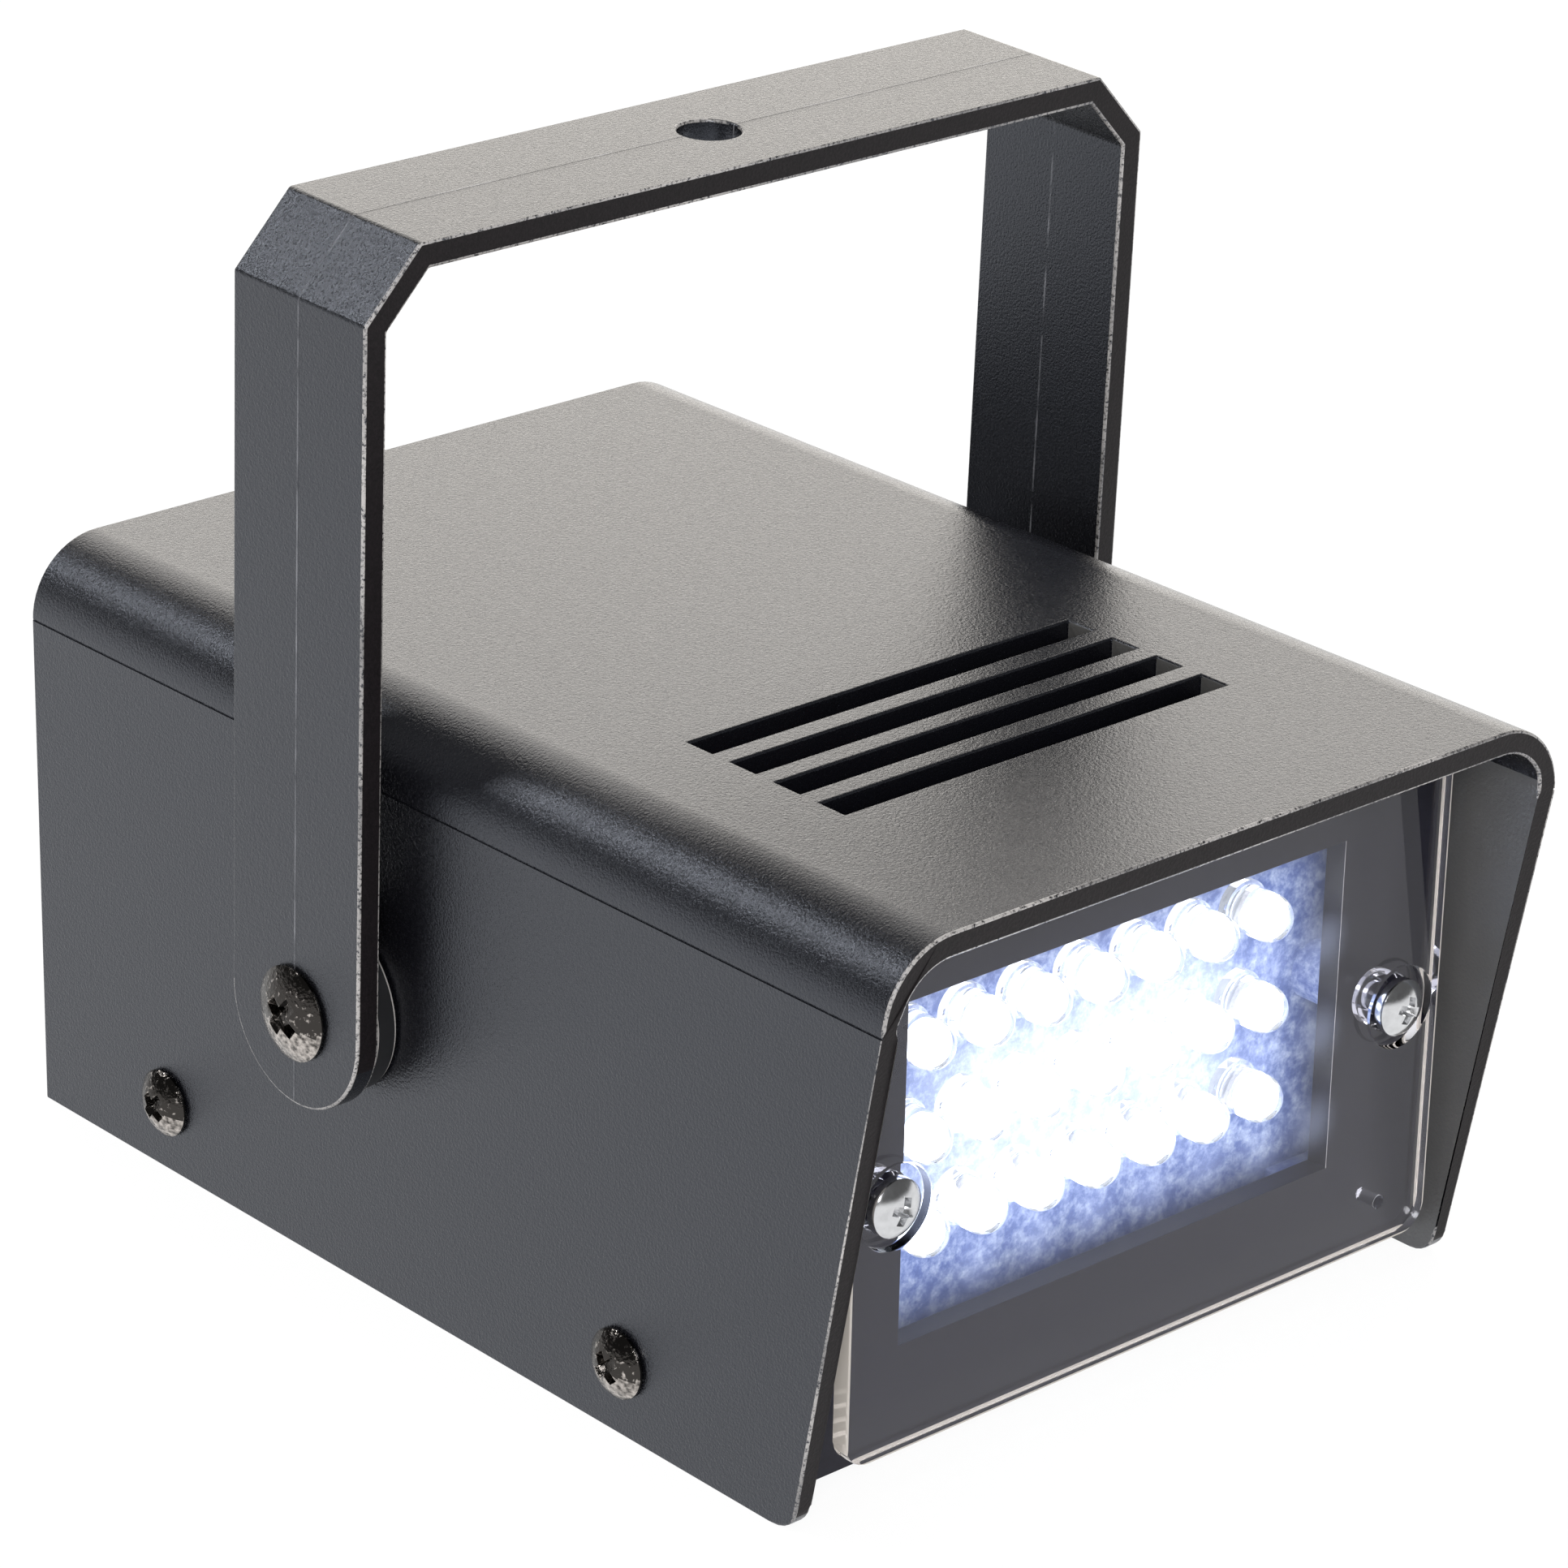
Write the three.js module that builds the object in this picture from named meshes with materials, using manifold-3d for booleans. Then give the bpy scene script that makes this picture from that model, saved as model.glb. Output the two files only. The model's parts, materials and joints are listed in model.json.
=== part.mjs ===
// Mini LED strobe light. A hooded plastic cover and a chassis hold a board of LEDs
// behind a clear lens cover, and the housing hangs in a U-shaped bracket that tilts
// on two pivot screws. The flash rate is set by a knob on the rear wall.
// Millimetres. X runs to the right as seen from the lens side, -Y is forward, +Z is up.
// The origin is the bottom centre of the whole light, on the plane that it stands on.
import * as THREE from "three";
import { mergeVertices } from "three/addons/utils/BufferGeometryUtils.js";
import Module from "manifold-3d";

const wasm = await Module();
wasm.setup();

// Fits shared by all pieces
const seatGap = 0.3;
const threadGap = 0.12;
const slipFit = 0.09;
const cutOverrun = 1;

// Cover: an arch-shaped shell whose sides slant back towards the bottom at the front
const coverWidth = 90;
const coverHeight = 63.4;
const coverTopLength = 130.4;
const hoodOverhang = 10.4;
const sideWall = 2;
const roofWall = 2.5;
const roofEdgeRadius = 8.3;
const skirtCornerRadius = 2.5;

// Cooling slots in the roof
const slotCount = 4;
const slotLength = 50.8;
const slotWidth = 3.5;
const slotPitch = 6.26;
const firstSlotSetback = 82.4;
const slotShift = -1;

// Chassis: a floor between the cover's sides, a rear wall, and a front wall that drops below the floor
const floorHeight = 5.5;
const floorThickness = 2;
const frontWallSetback = 13.9;
const frontWallThickness = 2.5;
const frontWallDrop = 3.45;
const rearWallInset = 1.5;
const rearWallThickness = 2.5;
const windowSideMargin = 13.3;
const windowTopMargin = 11.1;
const windowBottomMargin = 6;

// Lens cover, its screw posts and locating pegs
const lensSideClearance = 3.2;
const lensThickness = 2;
const lensStandoff = 3.1;
const lensBottomHeight = 5.3;
const lensTopClearance = 0.7;
const lensCornerRadius = 3;
const lensPostRadius = 3;
const lensCounterboreRadius = 4.4;
const lensCounterboreDepth = 1;
const lensScrewInset = 5.5;
const pegRadius = 0.7;
const pegInset = 5.6;
const pegEdgeDistance = 4;

// Screws: shank and head radii, the heads' heights and straight edges, lengths and places
const smallShankRadius = 1.45;
const smallBossRadius = 3.2;
const lensScrewHeadRadius = 3;
const lensScrewHeadHeight = 2.1;
const lensScrewHeadEdge = 0.7;
const lensScrewTipClearance = 1.25;
const sideScrewHeadRadius = 3.65;
const sideScrewHeadHeight = 1.8;
const sideScrewHeadEdge = 0.7;
const sideScrewLength = 9;
const sideScrewHeight = 7.8;
const rearSideScrewSetback = 22;
const frontSideScrewDistance = 21.5;
const boardScrewHeadRadius = 2.6;
const boardScrewHeadHeight = 1.8;
const boardScrewHeadEdge = 0.6;
const boardScrewLength = 6;
const sideBossDepth = 9.5;
const sideBossWidth = 8;
const sideBossHeight = 7;

// LED board and the LEDs
const boardThickness = 1.6;
const ledBoardSideClearance = 1.7;
const ledBoardTopClearance = 2.8;
const ledBoardScrewInset = 7;
const ledBoardScrewDrop = 4;
const ledRowPitch = 9.9;
const ledColumnPitch = 7.62;
const ledWindowMargin = 4.4;
const ledCentreRise = 0.4;
const ledRadius = 2.5;
const ledLength = 6.65;
const ledTipInset = 1.2;
const ledFlangeRadius = 2.9;
const ledFlangeThickness = 1;
const ledLeadWidth = 0.5;
const ledLeadSpacing = 2.54;
const ledLeadTail = 1.2;
const ledLeadHoleRadius = 0.5;
const boardRibWidth = 12;
const boardRibThickness = 1.5;
const boardRibHeight = 3;

// Control board on posts above the floor, and what it carries
const controlBoardSideClearance = 1.2;
const controlBoardLength = 58;
const controlBoardSetback = 16;
const postHeight = 5.5;
const postInset = 5;
const locatingPinRadius = 1.3;
const transformerWidth = 24;
const transformerLength = 20;
const transformerHeight = 18;
const windingMargin = 1;
const windingLength = 12;
const windingRecessDepth = 2;
const capacitorRadius = 6.3;
const capacitorHeight = 20;
const capacitorGrooveDepth = 0.4;
const capacitorGrooveRise = 2;
const rectifierWidth = 15;
const rectifierThickness = 4.5;
const rectifierHeight = 12;
const chipLength = 9.8;
const chipWidth = 6.4;
const chipHeight = 3.4;
const chipStandoff = 1.1;
const chipLegWidth = 1.2;
const chipLegPitch = 2.4;
const chipLegsPerSide = 4;
const terminalWidth = 11;
const terminalDepth = 8;
const terminalHeight = 10;
const terminalHoleWidth = 3.2;
const partEdgeMargin = 2.2;
const partGap = 1.5;
const wireRadius = 0.8;
const wireSpacing = 8;
const wireRise = 24;
const wireSlack = 12;
const wireLandingDrop = 8;

// Flash rate control on the rear wall
const rateControlInset = 24.7;
const rateControlHeight = 36;
const potCanRadius = 8;
const potCanDepth = 8.5;
const potShaftRadius = 3;
const potShaftEngagement = 6;
const potBushRadius = 3.9;
const potBushReach = 5.5;
const potNutAcrossFlats = 11;
const potNutThickness = 2;
const knobRadius = 8;
const knobLength = 14.8;
const knobStandoff = 3.1;
const knobFluteRadius = 1;
const knobFluteCount = 16;
const knobEndWall = 2.2;
const knobPointerWidth = 1.2;
const knobPointerDepth = 0.5;

// Cable gland on the rear wall
const glandInset = 20.7;
const glandHeight = 27;
const glandBoreRadius = 3.6;
const glandThreadRadius = 6;
const glandInnerReach = 5;
const glandFlangeAcrossFlats = 15;
const glandFlangeThickness = 3.5;
const glandSpigotRadius = 5.2;
const glandSpigotLength = 5;
const glandCapRadius = 7.2;
const glandCapWall = 1.3;
const glandLocknutAcrossFlats = 17;
const glandLocknutThickness = 3;
const glandSealBoreRadius = 3.35;
const glandSealLength = 2.2;

// Bracket, its pivots and the spacer discs
const bracketWidth = 20.2;
const bracketThickness = 2.65;
const bracketRise = 81.8;
const bracketChamferAcross = 6.5;
const bracketChamferDown = 7;
const bracketTiltDegrees = 1.5;
const bracketBoltHoleRadius = 3.25;
const pivotSetback = 51.8;
const pivotHeight = 30.8;
const pivotShankRadius = 2.5;
const pivotHeadRadius = 5;
const pivotHeadHeight = 1.7;
const pivotHeadEdge = 0.5;
const pivotNutAcrossFlats = 8;
const pivotNutThickness = 4;
const pivotTail = 0.8;
const spacerRadius = 9.4;
const spacerThickness = 2.55;

// Cross recess of every screw, as shares of its head's radius and height
const recessLengthShare = 0.58;
const recessWidthShare = 0.16;
const recessDepthShare = 0.55;

// Places along the control board, as shares of its half length, rearwards from its middle
const transformerShare = -0.12;
const capacitorShare = -0.05;
const rectifierShare = 0.38;
const chipShare = -0.5;
const terminalShare = 0.72;

// Sides of round forms, and divisions of drawn arcs, which have two sides each
const fullRound = 36;
const smallRound = 16;
const ledRound = 12;
const holeRound = 12;
const edgeDivisions = 4;
const endDivisions = 12;
const tinyDivisions = 3;
const pegRound = 8;
const fluteRound = 6;
const crownSteps = 3;
const wireSteps = 14;

// Places that follow from the sizes above, in a frame whose Y = 0 is the cover's rear edge
const coverBottomLength = coverTopLength - hoodOverhang;
const innerHalfWidth = coverWidth / 2 - sideWall;
const innerTop = coverHeight - roofWall;
const innerEdgeRadius = roofEdgeRadius - sideWall;
const wallHalfWidth = innerHalfWidth - seatGap;
const wallTop = innerTop - seatGap;
const wallEdgeRadius = innerEdgeRadius - seatGap;
const floorTop = floorHeight + floorThickness;
const windowWidth = (wallHalfWidth - windowSideMargin) * 2;
const windowBottom = floorTop + windowBottomMargin;
const windowTop = wallTop - windowTopMargin;
const windowCentreHeight = (windowBottom + windowTop) / 2;
const frontWallFace = -(coverTopLength - frontWallSetback);
const frontWallBack = frontWallFace + frontWallThickness;
const frontWallMiddle = (frontWallFace + frontWallBack) / 2;
const frontSideScrewSetback = -frontWallFace - frontSideScrewDistance;
const rearWallFace = -rearWallInset;
const rearWallInside = rearWallFace - rearWallThickness;
const lensBack = frontWallFace - lensStandoff;
const lensFront = lensBack - lensThickness;
const lensWidth = (innerHalfWidth - lensSideClearance) * 2;
const lensScrewSpacing = lensWidth - lensScrewInset * 2;
const pegSpacing = lensWidth - pegInset * 2;
const lensTop = innerTop - lensTopClearance;
const lensMiddle = (lensTop + lensBottomHeight) / 2;
const lensHeight = lensTop - lensBottomHeight;
const ledBoardBottom = floorTop + seatGap;
const ledBoardTop = wallTop - ledBoardTopClearance;
const ledBoardWidth = (wallHalfWidth - ledBoardSideClearance) * 2;
const ledBoardScrewSpacing = ledBoardWidth - ledBoardScrewInset * 2;
const ledColumns = Math.floor((windowWidth - ledWindowMargin * 2) / ledColumnPitch) + 1;
const ledRows = Math.floor((windowTop - windowBottom - ledWindowMargin * 2) / ledRowPitch) + 1;
const ledCentreHeight = windowCentreHeight + ledCentreRise;
const ledTip = frontWallFace + ledTipInset;
const ledSeat = ledTip + ledLength;
const ledBoardFace = ledSeat + seatGap;
const ledBoardBack = ledBoardFace + boardThickness;
const ledBoardScrewHeight = ledBoardTop - ledBoardScrewDrop;
const wallBossEnd = ledBoardFace - seatGap;
const lensScrewSeat = lensFront + lensCounterboreDepth - seatGap;
const lensScrewLength = wallBossEnd - lensScrewTipClearance - lensScrewSeat;
const controlBoardWidth = (wallHalfWidth - sideBossDepth - controlBoardSideClearance) * 2;
const controlBoardBottom = floorTop + postHeight + seatGap;
const controlBoardTop = controlBoardBottom + boardThickness;
const partSeat = controlBoardTop + seatGap;
const controlBoardRear = -controlBoardSetback;
const controlBoardFront = controlBoardRear - controlBoardLength;
const controlBoardMiddle = (controlBoardRear + controlBoardFront) / 2;
const spacerInside = coverWidth / 2 + seatGap;
const legInside = spacerInside + spacerThickness + seatGap;
const legOutside = legInside + bracketThickness;
const pivotHeadSeat = legOutside + seatGap;
const pivotNutFace = innerHalfWidth - seatGap;
const pivotTip = pivotNutFace - pivotNutThickness - pivotTail;
const rateControlSide = wallHalfWidth - rateControlInset;
const glandSide = glandInset - wallHalfWidth;
const knobFace = rearWallFace + knobStandoff;
const rearReach = knobFace + knobLength;
const glandFlangeSeat = rearWallFace + seatGap;
const glandFlangeEnd = glandFlangeSeat + glandFlangeThickness;
const glandSpigotEnd = glandFlangeEnd + glandSpigotLength;
const glandSealEnd = glandSpigotEnd + seatGap + glandSealLength;
const glandCapSeat = glandFlangeEnd + seatGap;
const glandCapEnd = glandSealEnd + seatGap + glandCapWall;

// Finishes
const finishes = {
  coverPlastic: { color: 0x45474b, roughness: 0.55, metalness: 0 },
  chassisPlastic: { color: 0x3c3c40, roughness: 0.5, metalness: 0 },
  bracketPlastic: { color: 0x2c2d30, roughness: 0.5, metalness: 0 },
  clearPlastic: { color: 0xe8eef2, roughness: 0.05, metalness: 0, transparent: true, opacity: 0.3 },
  chrome: { color: 0xc8c8cc, roughness: 0.15, metalness: 1 },
  blackScrew: { color: 0x121214, roughness: 0.3, metalness: 1 },
  zincSteel: { color: 0xa8a9a6, roughness: 0.35, metalness: 1 },
  ledEpoxy: { color: 0xf4f8ff, roughness: 0.1, metalness: 0, emissive: 0xdfe8ff },
  whiteBoard: { color: 0x8f97c8, roughness: 0.5, metalness: 0 },
  greenBoard: { color: 0x1f5a34, roughness: 0.5, metalness: 0 },
  blackNylon: { color: 0x1a1a1c, roughness: 0.55, metalness: 0 },
  softRubber: { color: 0x161616, roughness: 0.8, metalness: 0 },
  knobPlastic: { color: 0x17171a, roughness: 0.4, metalness: 0 },
  sleeveVinyl: { color: 0x20242e, roughness: 0.4, metalness: 0 },
  transformerTape: { color: 0xc9a227, roughness: 0.5, metalness: 0 },
  terminalPlastic: { color: 0x2a6b3f, roughness: 0.5, metalness: 0 },
  redInsulation: { color: 0xa8201c, roughness: 0.5, metalness: 0 },
  blackInsulation: { color: 0x1b1b1b, roughness: 0.5, metalness: 0 },
};

// Turning a closed three.js geometry into a solid, and back

function bareGeometry(geometry) {
  const bare = geometry.index ? geometry.toNonIndexed() : geometry.clone();
  bare.deleteAttribute("normal");
  bare.deleteAttribute("uv");
  return mergeVertices(bare);
}

function solidFrom(geometry) {
  const merged = bareGeometry(geometry);
  const corners = merged.index.array;
  const kept = [];
  for (let i = 0; i < corners.length; i += 3) {
    const [a, b, c] = [corners[i], corners[i + 1], corners[i + 2]];
    if (a !== b && b !== c && c !== a) kept.push(a, b, c);
  }
  const make = (triangles) => new wasm.Manifold(new wasm.Mesh({
    numProp: 3,
    vertProperties: new Float32Array(merged.attributes.position.array),
    triVerts: new Uint32Array(triangles),
  }));
  const solid = make(kept);
  return solid.volume() > 0 ? solid : make(kept.reverse());
}

function geometryFrom(solid) {
  const mesh = solid.getMesh();
  const geometry = new THREE.BufferGeometry();
  geometry.setAttribute("position", new THREE.BufferAttribute(mesh.vertProperties, 3));
  geometry.setIndex(new THREE.BufferAttribute(mesh.triVerts, 1));
  geometry.computeVertexNormals();
  return geometry;
}

const join = (...solids) => solids.reduce((whole, next) => whole.add(next));
const cut = (solid, ...tools) => tools.reduce((rest, tool) => rest.subtract(tool), solid);

// Basic shapes, each returned as a solid

function boxBetween([x0, y0, z0], [x1, y1, z1]) {
  const geometry = new THREE.BoxGeometry(x1 - x0, y1 - y0, z1 - z0);
  geometry.translate((x0 + x1) / 2, (y0 + y1) / 2, (z0 + z1) / 2);
  return solidFrom(geometry);
}

// Directions that a shape built along +Z can be laid in
const turns = {
  up: (geometry) => geometry,
  down: (geometry) => geometry.rotateX(Math.PI),
  forward: (geometry) => geometry.rotateX(Math.PI / 2),
  back: (geometry) => geometry.rotateX(-Math.PI / 2),
  right: (geometry) => geometry.rotateY(Math.PI / 2),
  left: (geometry) => geometry.rotateY(-Math.PI / 2),
};

function turned(profile, direction, [x, y, z], segments) {
  const points = profile.map(([radius, along]) => new THREE.Vector2(radius, along));
  const geometry = new THREE.LatheGeometry(points, segments);
  geometry.rotateX(Math.PI / 2);
  turns[direction](geometry);
  geometry.translate(x, y, z);
  return solidFrom(geometry);
}

function rod(radius, length, direction, place, segments = holeRound) {
  return turned([[0, 0], [radius, 0], [radius, length], [0, length]], direction, place, segments);
}

function tube(inner, outer, length, direction, place, segments = smallRound) {
  const profile = [[inner, 0], [outer, 0], [outer, length], [inner, length], [inner, 0]];
  return turned(profile, direction, place, segments);
}

function prism(shape, length, direction, [x, y, z], curveSegments = edgeDivisions) {
  const options = { depth: length, bevelEnabled: false, curveSegments };
  const geometry = new THREE.ExtrudeGeometry(shape, options);
  turns[direction](geometry);
  geometry.translate(x, y, z);
  return solidFrom(geometry);
}

// A prism lying along X, drawn in forward distance and height
function sidewaysPrism(shape, width, curveSegments = edgeDivisions) {
  const options = { depth: width, bevelEnabled: false, curveSegments };
  const geometry = new THREE.ExtrudeGeometry(shape, options);
  geometry.applyMatrix4(new THREE.Matrix4().makeBasis(
    new THREE.Vector3(0, -1, 0),
    new THREE.Vector3(0, 0, 1),
    new THREE.Vector3(-1, 0, 0),
  ));
  geometry.translate(width / 2, 0, 0);
  return solidFrom(geometry);
}

function hexagon(acrossFlats) {
  const radius = acrossFlats / Math.sqrt(3);
  const shape = new THREE.Shape();
  for (let i = 0; i < 6; i += 1) {
    const angle = (i * Math.PI) / 3;
    const point = [radius * Math.cos(angle), radius * Math.sin(angle)];
    if (i === 0) shape.moveTo(...point);
    else shape.lineTo(...point);
  }
  shape.closePath();
  return shape;
}

function archShape(halfWidth, bottom, top, radius) {
  const shape = new THREE.Shape();
  shape.moveTo(-halfWidth, bottom);
  shape.lineTo(halfWidth, bottom);
  shape.lineTo(halfWidth, top - radius);
  shape.absarc(halfWidth - radius, top - radius, radius, 0, Math.PI / 2, false);
  shape.lineTo(radius - halfWidth, top);
  shape.absarc(radius - halfWidth, top - radius, radius, Math.PI / 2, Math.PI, false);
  shape.closePath();
  return shape;
}

function roundedRectangle(width, height, radius) {
  const [w, h] = [width / 2, height / 2];
  const shape = new THREE.Shape();
  shape.moveTo(radius - w, -h);
  shape.lineTo(w - radius, -h);
  shape.absarc(w - radius, radius - h, radius, -Math.PI / 2, 0, false);
  shape.lineTo(w, h - radius);
  shape.absarc(w - radius, h - radius, radius, 0, Math.PI / 2, false);
  shape.lineTo(radius - w, h);
  shape.absarc(radius - w, h - radius, radius, Math.PI / 2, Math.PI, false);
  shape.lineTo(-w, radius - h);
  shape.absarc(radius - w, radius - h, radius, Math.PI, Math.PI * 1.5, false);
  shape.closePath();
  return shape;
}

// Points of a quarter circle for a turned profile, from its widest point inwards
function quarterRound(centreRadius, centreAlong, size) {
  const points = [];
  for (let i = 0; i <= crownSteps; i += 1) {
    const angle = (i / crownSteps) * (Math.PI / 2);
    points.push([centreRadius + size * Math.cos(angle), centreAlong + size * Math.sin(angle)]);
  }
  return points;
}

// A screw lying along +Z from its tip to the top of its domed head, with a cross recess
function screwSolid({ shank, length, head, height, edge, segments }) {
  const crownRise = height - edge;
  const crownRadius = (head * head + crownRise * crownRise) / (2 * crownRise);
  const profile = [[0, -length], [shank, -length], [shank, 0], [head, 0], [head, edge]];
  for (let i = 1; i < crownSteps; i += 1) {
    const radius = head * (1 - i / crownSteps);
    const drop = crownRadius - Math.sqrt(crownRadius * crownRadius - radius * radius);
    profile.push([radius, height - drop]);
  }
  profile.push([0, height]);
  const body = turned(profile, "up", [0, 0, 0], segments);
  const arm = head * recessLengthShare;
  const slot = head * recessWidthShare;
  const floor = height - height * recessDepthShare;
  const top = height + cutOverrun;
  const across = boxBetween([-arm, -slot, floor], [arm, slot, top]);
  const along = boxBetween([-slot, -arm, floor], [slot, arm, top]);
  return cut(body, across, along);
}

// Cover

function coverSolid() {
  const outside = prism(archShape(coverWidth / 2, 0, coverHeight, roofEdgeRadius),
    coverTopLength, "forward", [0, 0, 0]);
  const hollow = prism(archShape(innerHalfWidth, -cutOverrun, innerTop, innerEdgeRadius),
    coverTopLength + cutOverrun * 2, "forward", [0, cutOverrun, 0]);
  const slots = [];
  for (let i = 0; i < slotCount; i += 1) {
    const rear = -(firstSlotSetback + i * slotPitch);
    slots.push(boxBetween(
      [slotShift - slotLength / 2, rear - slotWidth, innerTop - cutOverrun],
      [slotShift + slotLength / 2, rear, coverHeight + cutOverrun],
    ));
  }
  const across = coverWidth + cutOverrun * 2;
  const acrossPlace = -across / 2;
  const holes = [rearSideScrewSetback, frontSideScrewSetback].map((setback) => rod(
    smallShankRadius + threadGap, across, "right", [acrossPlace, -setback, sideScrewHeight]));
  holes.push(rod(pivotShankRadius + threadGap, across, "right",
    [acrossPlace, -pivotSetback, pivotHeight], smallRound));
  return cut(outside.intersect(sideProfile()), hollow, ...slots, ...holes);
}

// The cover's outline seen from the side, with its lower front corner rounded
function sideProfile() {
  const slant = Math.atan2(coverTopLength - coverBottomLength, coverHeight);
  const turn = Math.PI / 2 + slant;
  const reach = skirtCornerRadius * Math.tan((Math.PI - turn) / 2 + slant);
  const shape = new THREE.Shape();
  shape.moveTo(0, 0);
  shape.lineTo(coverBottomLength - reach, 0);
  shape.quadraticCurveTo(coverBottomLength, 0,
    coverBottomLength + reach * Math.sin(slant), reach * Math.cos(slant));
  shape.lineTo(coverTopLength, coverHeight);
  shape.lineTo(0, coverHeight);
  shape.closePath();
  return sidewaysPrism(shape, coverWidth + cutOverrun * 2);
}

// Chassis

function chassisSolid() {
  const frontShape = archShape(wallHalfWidth, floorHeight - frontWallDrop, wallTop, wallEdgeRadius);
  const w = windowWidth / 2;
  const windowHole = new THREE.Path();
  windowHole.moveTo(-w, windowBottom);
  windowHole.lineTo(-w, windowTop);
  windowHole.lineTo(w, windowTop);
  windowHole.lineTo(w, windowBottom);
  windowHole.closePath();
  frontShape.holes.push(windowHole);
  const frontWall = prism(frontShape, frontWallThickness, "forward", [0, frontWallBack, 0]);
  const rearShape = archShape(wallHalfWidth, floorHeight, wallTop, wallEdgeRadius);
  const rearWall = prism(rearShape, rearWallThickness, "forward", [0, rearWallFace, 0]);
  const floor = boxBetween([-wallHalfWidth, frontWallFace, floorHeight],
    [wallHalfWidth, rearWallFace, floorTop]);
  const pilots = [];
  const lumps = [];
  for (const side of [-1, 1]) {
    addLensBoss(side, lumps, pilots);
    addBoardBoss(side, lumps, pilots);
    addBoardRibs(side, lumps);
    addSideBosses(side, lumps, pilots);
    addControlPosts(side, lumps, pilots);
  }
  pilots.push(rod(potBushRadius + threadGap, rearWallThickness + cutOverrun * 2, "forward",
    [rateControlSide, rearWallFace + cutOverrun, rateControlHeight], smallRound));
  pilots.push(rod(glandThreadRadius + threadGap, rearWallThickness + cutOverrun * 2, "forward",
    [glandSide, rearWallFace + cutOverrun, glandHeight], smallRound));
  return cut(join(floor, frontWall, rearWall, ...lumps), ...pilots);
}

function addLensBoss(side, lumps, pilots) {
  const x = (side * lensScrewSpacing) / 2;
  lumps.push(rod(smallBossRadius, wallBossEnd - frontWallMiddle, "back",
    [x, frontWallMiddle, windowCentreHeight], smallRound));
  pilots.push(rod(smallShankRadius + threadGap, wallBossEnd - frontWallFace + cutOverrun * 2, "back",
    [x, frontWallFace - cutOverrun, windowCentreHeight]));
}

function addBoardBoss(side, lumps, pilots) {
  const x = (side * ledBoardScrewSpacing) / 2;
  lumps.push(rod(smallBossRadius, wallBossEnd - frontWallMiddle, "back",
    [x, frontWallMiddle, ledBoardScrewHeight], smallRound));
  pilots.push(rod(smallShankRadius + threadGap, wallBossEnd - frontWallBack + cutOverrun, "back",
    [x, frontWallBack, ledBoardScrewHeight]));
}

// Two ribs on the floor that hold the LED board's lower edge between them
function addBoardRibs(side, lumps) {
  const outer = (side * ledBoardWidth) / 2;
  const inner = outer - side * boardRibWidth;
  const [x0, x1] = [Math.min(outer, inner), Math.max(outer, inner)];
  const front = ledBoardFace - seatGap;
  const back = ledBoardBack + seatGap;
  const top = floorTop + boardRibHeight;
  lumps.push(boxBetween([x0, front - boardRibThickness, floorHeight], [x1, front, top]));
  lumps.push(boxBetween([x0, back, floorHeight], [x1, back + boardRibThickness, top]));
}

function addSideBosses(side, lumps, pilots) {
  const face = side * wallHalfWidth;
  const end = face - side * sideBossDepth;
  const [x0, x1] = [Math.min(face, end), Math.max(face, end)];
  for (const setback of [rearSideScrewSetback, frontSideScrewSetback]) {
    const y = -setback;
    lumps.push(boxBetween([x0, y - sideBossWidth / 2, floorHeight],
      [x1, y + sideBossWidth / 2, floorHeight + sideBossHeight]));
    pilots.push(rod(smallShankRadius + threadGap, sideBossDepth + cutOverrun,
      side > 0 ? "left" : "right", [face + side * cutOverrun, y, sideScrewHeight]));
  }
}

// Posts under the control board's corners: screws at the rear, locating pins at the front
function addControlPosts(side, lumps, pilots) {
  const x = side * (controlBoardWidth / 2 - postInset);
  const rear = controlBoardRear - postInset;
  const front = controlBoardFront + postInset;
  for (const y of [rear, front]) {
    lumps.push(rod(smallBossRadius, postHeight + floorThickness, "up", [x, y, floorHeight], smallRound));
  }
  pilots.push(rod(smallShankRadius + threadGap, postHeight + cutOverrun, "up", [x, rear, floorTop]));
  lumps.push(rod(locatingPinRadius, controlBoardTop - floorHeight, "up", [x, front, floorHeight]));
}

// Lens cover

function lensSolid() {
  const shape = roundedRectangle(lensWidth, lensHeight, lensCornerRadius);
  const plate = prism(shape, lensThickness, "forward", [0, lensBack, lensMiddle]);
  const reach = lensStandoff - seatGap;
  const lumps = [];
  const holes = [];
  for (const side of [-1, 1]) {
    const x = (side * lensScrewSpacing) / 2;
    lumps.push(rod(lensPostRadius, reach + lensThickness / 2, "back",
      [x, lensBack - lensThickness / 2, windowCentreHeight], smallRound));
    holes.push(rod(smallShankRadius + seatGap, lensThickness + lensStandoff + cutOverrun, "back",
      [x, lensFront - cutOverrun, windowCentreHeight]));
    holes.push(rod(lensCounterboreRadius, lensCounterboreDepth + cutOverrun, "back",
      [x, lensFront - cutOverrun, windowCentreHeight], fullRound));
    const pegHeight = side > 0 ? lensBottomHeight + pegEdgeDistance : lensTop - pegEdgeDistance;
    lumps.push(rod(pegRadius, reach + lensThickness / 2, "back",
      [(side * pegSpacing) / 2, lensBack - lensThickness / 2, pegHeight], pegRound));
  }
  return cut(join(plate, ...lumps), ...holes);
}

// LED board and one LED

const ledPlaces = [];
for (let row = 0; row < ledRows; row += 1) {
  for (let column = 0; column < ledColumns; column += 1) {
    ledPlaces.push({
      name: `led_row${row + 1}_col${column + 1}`,
      x: (column - (ledColumns - 1) / 2) * ledColumnPitch,
      z: ledCentreHeight - (row - (ledRows - 1) / 2) * ledRowPitch,
    });
  }
}

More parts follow.
